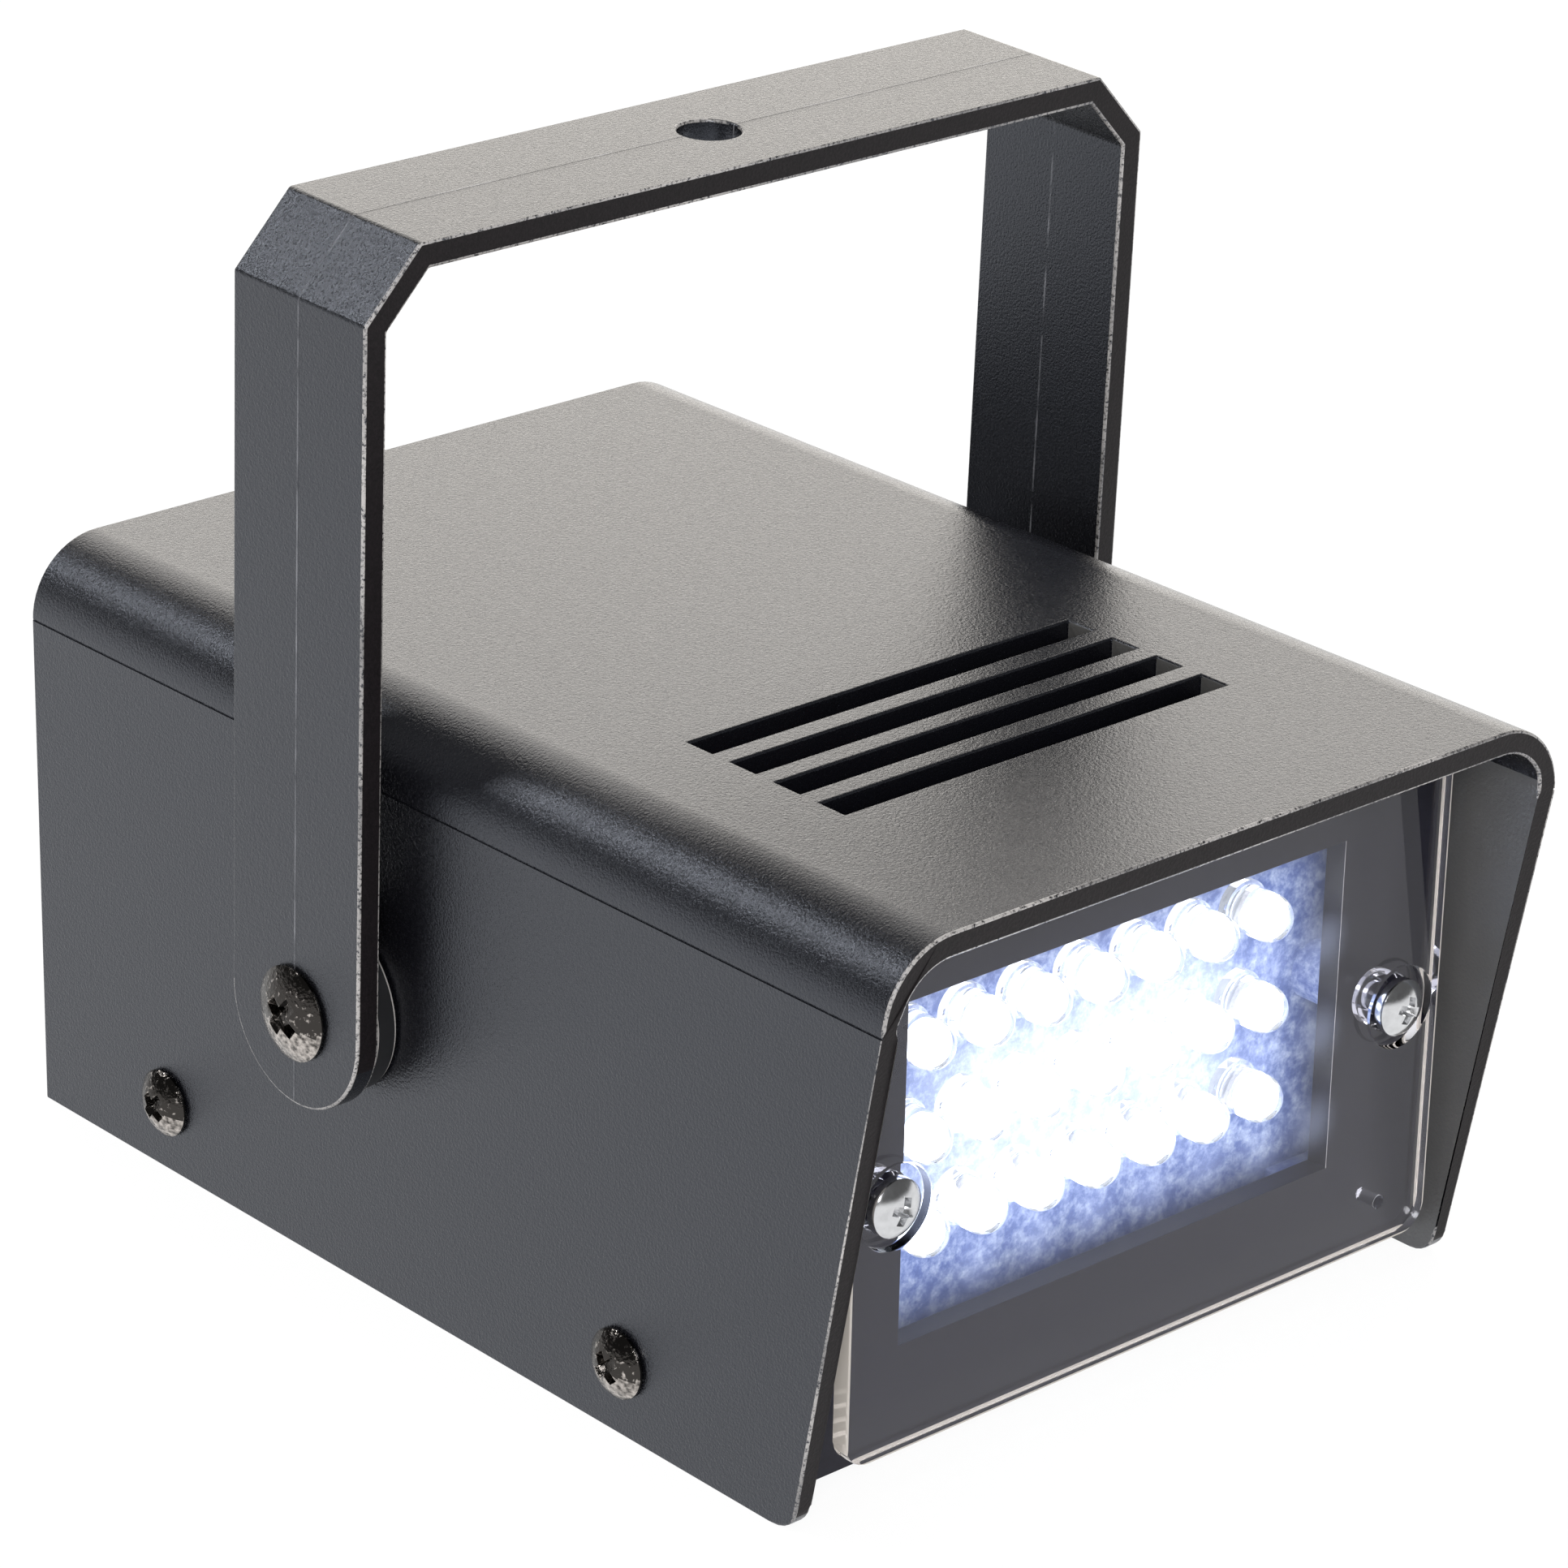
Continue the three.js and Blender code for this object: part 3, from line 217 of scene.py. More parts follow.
def colour(name, description, hex_colour):
    """A colour that a user can change, with its default as an sRGB hex value."""
    return FloatVectorProperty(name=name, description=description, default=linear(hex_colour),
                               size=3, min=0, max=1, subtype="COLOR")


class StrobeShells(bpy.types.PropertyGroup):
    """Sizes of the cover, chassis and bracket"""
    wall: length("Side wall", "Thickness of the cover's sides", 2)
    roof: length("Roof", "Thickness of the cover's top", 2.5)
    roof_radius: length("Roof radius", "Outer radius along the cover's top edges", 8.3)
    inner_radius: length("Inner radius", "Inner radius under the cover's top edges", 6.3)
    roof_steps: IntProperty(name="Roof steps", description="Faces in one rounding", default=14)
    hood_overhang: length("Hood overhang", "How far the hood's top runs past its bottom", 10.4)
    hood_corner: length("Hood corner", "Radius of the hood's lower front corners", 2.5)
    corner_steps: IntProperty(name="Corner steps", description="Faces in those corners",
                              default=6)
    foot_steps: IntProperty(name="Foot steps", description="Faces in half a bracket foot",
                            default=20)
    front_wall: length("Front wall", "Thickness of the chassis's front wall", 2.5)
    window_half: length("Window half", "Half the width of the window in that wall", 29.4)
    edge: length("Edge", "Radius that the mould leaves on the edges", 0.28)
    chassis_edge: length("Chassis edge", "The same on the chassis", 0.196)
    seam_height: length("Seam height", "Height of the fine line along the cover's sides", 55.2)
    seam_width: length("Seam width", "Width of that line", 0.26)
    seam_depth: length("Seam depth", "Depth of that line", 0.16)
    slot_left: length("Slot left", "Reach of the vent slots to the left of the middle", 26.4)
    slot_right: length("Slot right", "Reach of the vent slots to the right of the middle", 24.4)
    slot_setback: length("Slot setback", "Rearmost slot's rear edge before the origin", 25.4)
    slot_pitch: length("Slot pitch", "Distance from slot to slot", 6.26)
    slot_width: length("Slot width", "Width of a vent slot", 3.5)
    slot_count: IntProperty(name="Slots", description="Number of vent slots", default=4)
    bracket_thickness: length("Bracket thickness", "Thickness of the bracket's strip", 2.65)
    bracket_width: length("Bracket width", "Width of the bracket's strip", 20.2)
    bracket_rise: length("Bracket rise", "Top of the bracket above its pivots", 81.8)
    bevel_across: length("Corner across", "Width of the bracket's cut corners", 6.5)
    bevel_down: length("Corner down", "Height of the bracket's cut corners", 7)
    bracket_tilt: angle("Bracket tilt", "Lean of the bracket towards the front", 1.5)
    bolt_radius: length("Bolt hole", "Radius of the hole in the bracket's top", 3.25)
    pivot_radius: length("Pivot hole", "Radius of the holes for the pivot screws", 2.6)
    screw_radius: length("Screw hole", "Radius of the holes for the cover screws", 1.8)
    mould_line_width: length("Mould line width", "Width of the ridge that the mould leaves", 0.22)
    mould_line_height: length("Mould line height", "Height of that ridge", 0.012)


class StrobeFront(bpy.types.PropertyGroup):
    """Sizes of the lens and the LEDs"""
    lens_thickness: length("Lens thickness", "Thickness of the clear plate", 2)
    lens_corner: length("Lens corner", "Radius of the plate's corners", 3)
    lens_edge: length("Lens edge", "Radius along the plate's edges", 0.25)
    # Painted highlight: width of the pale glowing lines along the plate's edges
    lens_highlight: length("Lens highlight", "Width of the frosted lines along the plate's edges", 0.28)
    screw_hole: length("Screw hole", "Radius of the plate's screw holes", 1.75)
    post_radius: length("Post radius", "Radius of the posts behind the screws", 3)
    post_place: length("Post place", "Posts and lens screws to each side of the middle", 34.3)
    post_height: length("Post height", "Height of the posts and lens screws", 31.5)
    counterbore_radius: length("Counterbore", "Radius of the recess round a lens screw", 4.4)
    counterbore_depth: length("Counterbore depth", "Depth of that recess", 1)
    peg_radius: length("Peg radius", "Radius of the locating pegs", 0.7)
    peg_place: length("Peg place", "Pegs to each side of the middle", 34.2)
    peg_low: length("Low peg", "Height of the lower peg", 9.3)
    peg_high: length("High peg", "Height of the upper peg", 56.2)
    peg_gap: length("Peg gap", "How much shorter than the posts the pegs are", 0.2)
    led_radius: length("LED radius", "Radius of an LED's body", 2.5)
    led_flange_radius: length("LED flange", "Radius of an LED's flange", 2.9)
    led_flange: length("LED flange thickness", "Thickness of an LED's flange", 1)
    led_gap: length("LED gap", "Gap between the flanges and the board", 0.3)
    led_core: length("LED core", "Radius of the lit potting in an LED", 1.5)
    led_lead: length("LED lead", "Width of an LED's leads", 0.5)
    led_lead_spacing: length("LED lead spacing", "Distance between an LED's leads", 2.54)
    led_steps: IntProperty(name="LED steps", description="Faces round an LED", default=32)


class StrobeScrews(bpy.types.PropertyGroup):
    """Sizes of the screws and spacers"""
    pivot_head: length("Pivot head", "Head radius of the pivot screws", 5)
    pivot_height: length("Pivot head height", "Head height of the pivot screws", 1.7)
    side_head: length("Side head", "Head radius of the cover screws", 3.65)
    side_height: length("Side head height", "Head height of the cover screws", 1.8)
    lens_head: length("Lens head", "Head radius of the lens screws", 3)
    lens_height: length("Lens head height", "Head height of the lens screws", 2.1)
    arm_share: share("Arm share", "Reach of the cross recess as a share of the head radius", 0.66)
    slot_share: share("Slot share", "Half width of the recess's arms, as that share", 0.19)
    rim_share: share("Rim share", "Height of a head's upright rim as a share of its height", 0.15)
    lens_rim_share: share("Lens rim share", "The same for the lens screws", 0.45)
    pivot_shank: length("Pivot shank", "Shank radius of the pivot screws", 2.25)
    small_shank: length("Small shank", "Shank radius of the other screws", 1.5)
    depth_share: share("Depth share", "Depth of the recess as a share of the head height", 0.6)
    tip_share: share("Tip share", "Length of the tip as a share of the shank radius", 0.6)
    head_edge: length("Head edge", "Radius along the edges of a head", 0.08)
    crown_steps: IntProperty(name="Crown steps", description="Faces up a head", default=12)
    pivot_spin: angle("Pivot spin", "Turn of the pivot screws' recesses", 38)
    rear_spin: angle("Rear spin", "The same for the rear cover screws", 42)
    front_spin: angle("Front spin", "The same for the front cover screws", 50)
    lens_spin: angle("Lens spin", "The same for the lens screws", 20)
    spacer_bore: length("Spacer bore", "Radius of the bore of the spacers", 2.7)
    spacer_edge: length("Spacer edge", "Radius along the edges of the spacers", 0.3)


class StrobeColours(bpy.types.PropertyGroup):
    """Colours of the materials"""
    shell: colour("Shell", "Black ABS of the cover and chassis", "#0f0f13")
    # Painted light: the cover's inner sides drawn paler, for the brightness inside the hood
    inside: colour("Inside", "Inner sides of the cover", "#535250")
    chassis: colour("Chassis", "Smooth black ABS of the chassis", "#1b1a24")
    bracket: colour("Bracket", "Black ABS of the bracket", "#0e0e11")
    # Painted highlight: the pale colour of the rounded edges where they would catch the light
    edge_highlight: colour("Edge highlight", "Plastic rubbed pale along the edges", "#b4b0ad")
    # Painted shade: the darker colour of the faces turned to the front and rear
    painted_shade: colour("Painted shade", "Matt plastic where the narrow faces were trimmed", "#0f0b0d")
    # Painted highlight: the mould line drawn paler than the bracket
    mould_line: colour("Mould line", "Bruised plastic along the bracket's mould line", "#6c6c70")
    clear: colour("Lens", "Clear plate", "#f5f5fb")
    led: colour("LED", "Light of the LEDs", "#f2faff")
    glow: colour("Glow", "Bluish light on the LED board", "#7a95dc")
    glow_bright: colour("Bright glow", "Light of the board's brightest patches", "#dcebff")
    haze: colour("Haze", "Light that the lens scatters", "#cfdcff")
    # Painted highlight: the pale glowing colour of the lens's edges
    lens_edge: colour("Lens edge", "Frosted edges of the lens", "#c9c2ba")
    chrome: colour("Chrome", "Bright plated screws", "#d9dadc")
    black_screw: colour("Black screw", "Black plated screws", "#c6bfb9")
    zinc: colour("Zinc", "Zinc-plated steel", "#b5b8ba")
    floor: colour("Floor", "Pale floor", "#f0f0f0")


class StrobeStage(bpy.types.PropertyGroup):
    """Camera and lights"""
    camera_place: FloatVectorProperty(name="Camera place", description="Where the camera stands",
                                      default=(-0.37289, -0.41950, 0.28359), unit="LENGTH")
    azimuth: angle("Azimuth", "Camera's turn about the vertical", -42.33)
    elevation: angle("Elevation", "Camera's height angle", 23.15)
    roll: angle("Roll", "Camera's turn about its own axis", 1.34)
    lens: FloatProperty(name="Lens", description="Focal length in millimetres on a 36 mm sensor",
                        default=136.4)
    world_light: share("World light", "Strength of the sky for diffuse light", 0.75)
    horizon: share("Horizon", "Height of a ray's direction where the white wall starts to fade", 0)
    ceiling: share("Ceiling", "Height of a ray's direction where the grey ceiling starts", 0.2)
    ceiling_light: share("Ceiling light", "Strength of the ceiling in reflections", 0.12)


def add_node(tree, kind, inputs=None, out=None, **settings):
    """Add a node, set its settings, give its inputs a value or a link, and return it or an output."""
    made = tree.nodes.new(kind)
    for key, value in settings.items():
        setattr(made, key, value)
    for key, value in (inputs or {}).items():
        if isinstance(value, bpy.types.NodeSocket):
            tree.links.new(value, made.inputs[key])
        else:
            made.inputs[key].default_value = value
    return made.outputs[out] if out else made


def rgba(values, level=1):
    """Four channels for a colour socket, darker or lighter where a level is given."""
    return (*[value * level for value in values], 1)


def new_material(name):
    """An empty node material and its tree."""
    material = bpy.data.materials.new(name)
    material.use_nodes = True
    material.node_tree.nodes.clear()
    return material, material.node_tree


def patchy(tree, pattern, low, high, dark, light):
    """A colour that goes from one to the other as the pattern's value goes from low to high."""
    share_of_light = add_node(tree, "ShaderNodeMapRange",
                              {"Value": pattern, "From Min": low, "From Max": high}, out="Result")
    return add_node(tree, "ShaderNodeMix", {"Factor": share_of_light, "A": dark, "B": light},
                    out="Result", data_type="RGBA")


def line_mask(tree, place, centre, tilt, half_width):
    """1 along a thin broken line through a point, on surfaces leaning about the X axis, else 0."""
    lean = add_node(tree, "ShaderNodeMapping",
                    {"Vector": place, "Location": centre, "Rotation": (tilt, 0, 0)},
                    out="Vector", vector_type="TEXTURE")
    across = add_node(tree, "ShaderNodeSeparateXYZ", {"Vector": lean}, out="Y")
    away = add_node(tree, "ShaderNodeMath", {0: across}, out="Value", operation="ABSOLUTE")
    inside = add_node(tree, "ShaderNodeMath", {0: away, 1: half_width}, out="Value",
                      operation="LESS_THAN")
    broken = add_node(tree, "ShaderNodeTexNoise", {"Vector": place, "Scale": 1 / LINE_BREAK,
                                                   "Detail": 3}, out="Fac")
    # Where along its length the mould line's painted highlight shows
    highlighted = add_node(tree, "ShaderNodeMapRange",
                    {"Value": broken, "From Min": 0.4, "From Max": 0.65}, out="Result")
    return add_node(tree, "ShaderNodeMath", {0: inside, 1: highlighted}, out="Value",
                    operation="MULTIPLY")


def grained_abs(name, base, grain, line=None, painted=None):
    """ABS moulded against a spark-eroded die: a dull black skin with fine round grain that glints.

    The real grain is near 0.15 mm, and is drawn a little coarser so that it shows. The skin of
    such a moulding is richer in resin than its core, so it reflects more than its IOR gives.
    Given a colour for it, the edges are painted pale in grainy streaks as a painted highlight.
    """
    grain_size, grain_depth, roughness = grain
    material, tree = new_material(name)
    place = add_node(tree, "ShaderNodeTexCoord", out="Object")
    fine = add_node(tree, "ShaderNodeTexNoise", {"Vector": place, "Scale": 1 / grain_size,
                                                 "Detail": 3, "Roughness": 0.6}, out="Fac")
    cloud = add_node(tree, "ShaderNodeTexNoise", {"Vector": place, "Scale": 1 / CLOUD_SIZE,
                                                  "Detail": 2}, out="Fac")
    bump = add_node(tree, "ShaderNodeBump", {"Height": fine, "Strength": 1,
                                             "Distance": grain_depth}, out="Normal")
    dull = add_node(tree, "ShaderNodeMapRange",
                    {"Value": fine, **NOISE_SPAN, "To Min": roughness - GLOSS_SPREAD,
                     "To Max": roughness + GLOSS_SPREAD}, out="Result")
    shade = add_node(tree, "ShaderNodeMix", {"Factor": cloud, "A": rgba(base, 0.85),
                                             "B": rgba(base, 1.15)}, out="Result",
                     data_type="RGBA")
    if line:
        mask = line_mask(tree, place, line["centre"], line["tilt"], line["half_width"])
        shade = add_node(tree, "ShaderNodeMix", {"Factor": mask, "A": shade,
                                                 "B": rgba(line["colour"])}, out="Result",
                         data_type="RGBA")
    # Painted highlight: pale grainy streaks on the rounded edges
    if painted:
        streaks = add_node(tree, "ShaderNodeMapRange",
                           {"Value": cloud, "From Min": 0.35, "From Max": 0.6, "To Min": 0.45,
                            "To Max": 1}, out="Result")
        grains = add_node(tree, "ShaderNodeMapRange",
                          {"Value": fine, "From Min": 0.34, "From Max": 0.52}, out="Result")
        pale = add_node(tree, "ShaderNodeMath", {0: streaks, 1: grains}, out="Value",
                        operation="MULTIPLY")
        shade = add_node(tree, "ShaderNodeMix", {"Factor": pale, "A": shade, "B": rgba(painted)},
                         out="Result", data_type="RGBA")
    skin = add_node(tree, "ShaderNodeBsdfPrincipled",
                    {"Base Color": shade, "Roughness": dull, "IOR": ABS_IOR,
                     "Specular IOR Level": SKIN_GLOSS, "Specular Tint": COOL_REFLECTION_TINT,
                     "Normal": bump}, out="BSDF")
    add_node(tree, "ShaderNodeOutputMaterial", {"Surface": skin})
    return material


def shaded_abs(name, base):
    """Painted shade: a darker, duller copy of the ABS for the faces turned to the front and rear, matt and almost
    black.
    """
    material, tree = new_material(name)
    place = add_node(tree, "ShaderNodeTexCoord", out="Object")
    torn = add_node(tree, "ShaderNodeTexNoise", {"Vector": place, "Scale": 1 / TEAR_SIZE,
                                                 "Detail": 4}, out="Fac")
    bump = add_node(tree, "ShaderNodeBump", {"Height": torn, "Strength": 1,
                                             "Distance": TEAR_DEPTH}, out="Normal")
    shade = patchy(tree, torn, 0.35, 0.7, rgba(base), rgba(base, 2.2))
    skin = add_node(tree, "ShaderNodeBsdfPrincipled",
                    {"Base Color": shade, "Roughness": 0.5, "IOR": ABS_IOR,
                     "Specular IOR Level": CORE_GLOSS, "Normal": bump}, out="BSDF")
    add_node(tree, "ShaderNodeOutputMaterial", {"Surface": skin})
    return material


def smooth_plastic(name, base, roughness, unevenness=0.3, ior=1.5):
    """Moulded plastic from a plain die: even, with a slight unevenness in its gloss."""
    material, tree = new_material(name)
    place = add_node(tree, "ShaderNodeTexCoord", out="Object")
    fine = add_node(tree, "ShaderNodeTexNoise", {"Vector": place, "Scale": 1 / DIE_SIZE,
                                                 "Detail": 3}, out="Fac")
    bump = add_node(tree, "ShaderNodeBump", {"Height": fine, "Strength": unevenness,
                                             "Distance": DIE_DEPTH}, out="Normal")
    shade = patchy(tree, fine, *NOISE_SPAN.values(), rgba(base, 0.9), rgba(base, 1.1))
    skin = add_node(tree, "ShaderNodeBsdfPrincipled",
                    {"Base Color": shade, "Roughness": roughness, "IOR": ior, "Normal": bump},
                    out="BSDF")
    add_node(tree, "ShaderNodeOutputMaterial", {"Surface": skin})
    return material


def plated_steel(name, base, roughness):
    """Bright plated screw steel: a metal skin with patches of duller plating."""
    material, tree = new_material(name)
    place = add_node(tree, "ShaderNodeTexCoord", out="Object")
    patches = add_node(tree, "ShaderNodeTexNoise", {"Vector": place, "Scale": 1 / PLATING_SIZE,
                                                    "Detail": 4}, out="Fac")
    dull = add_node(tree, "ShaderNodeMapRange",
                    {"Value": patches, **NOISE_SPAN, "To Min": roughness,
                     "To Max": roughness + PLATING_DULLING}, out="Result")
    bump = add_node(tree, "ShaderNodeBump", {"Height": patches, "Strength": 0.4,
                                             "Distance": PLATING_DEPTH}, out="Normal")
    shade = patchy(tree, patches, *NOISE_SPAN.values(), rgba(base, 0.86), rgba(base))
    skin = add_node(tree, "ShaderNodeBsdfPrincipled",
                    {"Base Color": shade, "Metallic": 1, "Roughness": dull, "Normal": bump},
                    out="BSDF")
    add_node(tree, "ShaderNodeOutputMaterial", {"Surface": skin})
    return material


def black_plated_steel(name, base, roughness, glints):
    """Black zinc plating over steel: glossy and nearly black, with bright pinprick glints.

    The plating wears through where the noise passes the two limits, so lower ones show more bright metal, as on
    the heads' lower side, where that is a painted highlight.
    """
    material, tree = new_material(name)
    place = add_node(tree, "ShaderNodeTexCoord", out="Object")
    pits = add_node(tree, "ShaderNodeTexNoise", {"Vector": place, "Scale": 1 / PIT_SIZE,
                                                 "Detail": 3}, out="Fac")
    bump = add_node(tree, "ShaderNodeBump", {"Height": pits, "Strength": 1,
                                             "Distance": PIT_DEPTH}, out="Normal")
    shade = patchy(tree, pits, *glints, rgba(base, 0.09), rgba(base))
    skin = add_node(tree, "ShaderNodeBsdfPrincipled",
                    {"Base Color": shade, "Metallic": 1, "Roughness": roughness,
                     "Normal": bump}, out="BSDF")
    add_node(tree, "ShaderNodeOutputMaterial", {"Surface": skin})
    return material


def soft_frame(tree, place, centre, inner, outer):
    """1 inside a rectangle that faces the front, falling softly to 0 at a larger one."""
    shifted = add_node(tree, "ShaderNodeVectorMath", {0: place, 1: centre}, out="Vector",
                       operation="SUBTRACT")
    axes = add_node(tree, "ShaderNodeSeparateXYZ", {"Vector": shifted})
    sides = []
    for axis, near_edge, far_edge in zip(("X", "Z"), inner, outer):
        away = add_node(tree, "ShaderNodeMath", {0: axes.outputs[axis]}, out="Value",
                        operation="ABSOLUTE")
        sides.append(add_node(tree, "ShaderNodeMapRange",
                              {"Value": away, "From Min": near_edge, "From Max": far_edge,
                               "To Min": 1, "To Max": 0}, out="Result",
                              interpolation_type="SMOOTHSTEP"))
    return add_node(tree, "ShaderNodeMath", {0: sides[0], 1: sides[1]}, out="Value",
                    operation="MULTIPLY")


def led_pools(tree, place, first, pitch, reach):
    """Round pools of light on a grid of columns and rows, 1 at each middle and 0 at their reach."""
    shifted = add_node(tree, "ShaderNodeVectorMath", {0: place, 1: first}, out="Vector",
                       operation="SUBTRACT")
    axes = add_node(tree, "ShaderNodeSeparateXYZ", {"Vector": shifted})
    squares = []
    for axis, step in zip(("X", "Z"), pitch):
        away = add_node(tree, "ShaderNodeMath", {0: axes.outputs[axis], 1: -step / 2, 2: step / 2},
                        out="Value", operation="WRAP")
        squares.append(add_node(tree, "ShaderNodeMath", {0: away, 1: away}, out="Value",
                                operation="MULTIPLY"))
    total = add_node(tree, "ShaderNodeMath", {0: squares[0], 1: squares[1]}, out="Value",
                     operation="ADD")
    distance = add_node(tree, "ShaderNodeMath", {0: total}, out="Value", operation="SQRT")
    return add_node(tree, "ShaderNodeMapRange",
                    {"Value": distance, "From Min": 0, "From Max": reach, "To Min": 1,
                     "To Max": 0}, out="Result", interpolation_type="SMOOTHSTEP")


def lens_highlight_lines(tree, place):
    """1 on the lens's left edge and along the thin lines where its faces meet its edges, else 0: where the painted
    highlight goes.
    """
    sizes = bpy.context.scene.strobe_front
    low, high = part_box("lens_cover")
    axes = add_node(tree, "ShaderNodeSeparateXYZ", {"Vector": place})
    left = add_node(tree, "ShaderNodeMath", {0: axes.outputs["X"], 1: low.x + sizes.lens_highlight},
                    out="Value", operation="LESS_THAN")
    reach = (high.x - sizes.lens_highlight, (high.z - low.z) / 2 - sizes.lens_highlight)
    body = soft_frame(tree, place, (0, low.y, (low.z + high.z) / 2), reach,
                      [edge + NEAR for edge in reach])
    rim = add_node(tree, "ShaderNodeMath", {0: 1, 1: body}, out="Value", operation="SUBTRACT")
    depth = add_node(tree, "ShaderNodeMath",
                     {0: axes.outputs["Y"], 1: low.y + sizes.lens_thickness / 2},
                     out="Value", operation="SUBTRACT")
    away = add_node(tree, "ShaderNodeMath", {0: depth}, out="Value", operation="ABSOLUTE")
    skin_deep = add_node(tree, "ShaderNodeMath", {0: away, 1: sizes.lens_thickness / 2 - sizes.lens_highlight},
                         out="Value", operation="GREATER_THAN")
    lines = add_node(tree, "ShaderNodeMath", {0: rim, 1: skin_deep}, out="Value",
                     operation="MULTIPLY")
    return add_node(tree, "ShaderNodeMath", {0: left, 1: lines}, out="Value",
                    operation="MAXIMUM")


def clear_sheet(name, base, edge_colour, haze, front):
    """Clear acrylic, injection moulded: see-through, with light caught in it and edges that glow pale as a painted
    highlight.
    """
    material, tree = new_material(name)
    place = add_node(tree, "ShaderNodeTexCoord", out="Object")
    ripple = add_node(tree, "ShaderNodeTexNoise", {"Vector": place, "Scale": 1 / RIPPLE_SIZE,
                                                   "Detail": 1}, out="Fac")
    bump = add_node(tree, "ShaderNodeBump", {"Height": ripple, "Strength": 0.2,
                                             "Distance": RIPPLE_DEPTH}, out="Normal")
    veil = add_node(tree, "ShaderNodeMath", {0: soft_frame(tree, place, *front["veil"]),
                                             1: LENS_VEIL}, out="Value", operation="MULTIPLY")
    pools = add_node(tree, "ShaderNodeMath",
                     {0: led_pools(tree, place, front["first"], front["pitch"], LENS_POOL_REACH),
                      1: soft_frame(tree, place, *front["field"])}, out="Value",
                     operation="MULTIPLY")
    light = add_node(tree, "ShaderNodeMath", {0: pools, 1: LENS_POOL, 2: veil}, out="Value",
                     operation="MULTIPLY_ADD")
    skin = add_node(tree, "ShaderNodeBsdfPrincipled",
                    {"Base Color": rgba(base), "Roughness": 0.02, "IOR": LENS_IOR,
                     "Transmission Weight": 1, "Emission Color": rgba(haze),
                     "Emission Strength": light, "Normal": bump}, out="BSDF")
    # Painted highlight: a pale, frosted-looking finish that glows along the plate's edges
    highlit = add_node(tree, "ShaderNodeBsdfPrincipled",
                       {"Base Color": rgba(edge_colour), "Roughness": 0.35, "IOR": ACRYLIC_IOR,
                        "Emission Color": rgba(edge_colour), "Emission Strength": 0.5},
                       out="BSDF")
    lens_highlight = add_node(tree, "ShaderNodeMath", {0: lens_highlight_lines(tree, place), 1: LENS_HIGHLIGHT_SHARE},
                     out="Value", operation="MULTIPLY")
    sheet = add_node(tree, "ShaderNodeMixShader", {0: lens_highlight, 1: skin, 2: highlit}, out="Shader")
    clear = add_node(tree, "ShaderNodeBsdfTransparent", out="BSDF")
    shadow = add_node(tree, "ShaderNodeLightPath", out="Is Shadow Ray")
    both = add_node(tree, "ShaderNodeMixShader", {0: shadow, 1: sheet, 2: clear}, out="Shader")
    add_node(tree, "ShaderNodeOutputMaterial", {"Surface": both})
    return material


def clear_epoxy(name, light):
    """Water-clear cast epoxy round a lit chip: clear, with a trace of the light caught in it."""
    material, tree = new_material(name)
    place = add_node(tree, "ShaderNodeTexCoord", out="Object")
    flow = add_node(tree, "ShaderNodeTexNoise", {"Vector": place, "Scale": 1 / FLOW_SIZE,
                                                 "Detail": 2}, out="Fac")
    strength = add_node(tree, "ShaderNodeMapRange",
                        {"Value": flow, **NOISE_SPAN, "To Min": 0.04, "To Max": 0.2},
                        out="Result")
    skin = add_node(tree, "ShaderNodeBsdfPrincipled",
                    {"Base Color": (1, 1, 1, 1), "Roughness": 0.02, "IOR": 1.5,
                     "Transmission Weight": 1, "Emission Color": rgba(light),
                     "Emission Strength": strength}, out="BSDF")
    add_node(tree, "ShaderNodeOutputMaterial", {"Surface": skin})
    return material


def lit_phosphor(name, light):
    """Phosphor potting in the reflector cup, overexposed by the chip under it."""
    material, tree = new_material(name)
    place = add_node(tree, "ShaderNodeTexCoord", out="Object")
    grain = add_node(tree, "ShaderNodeTexNoise", {"Vector": place, "Scale": 1 / PHOSPHOR_SIZE,
                                                  "Detail": 2}, out="Fac")
    strength = add_node(tree, "ShaderNodeMapRange",
                        {"Value": grain, **NOISE_SPAN, "To Min": 2.4, "To Max": 3.6},
                        out="Result")
    skin = add_node(tree, "ShaderNodeBsdfPrincipled",
                    {"Base Color": rgba(light), "Roughness": 0.6, "Emission Color": rgba(light),
                     "Emission Strength": strength}, out="BSDF")
    add_node(tree, "ShaderNodeOutputMaterial", {"Surface": skin})
    return material


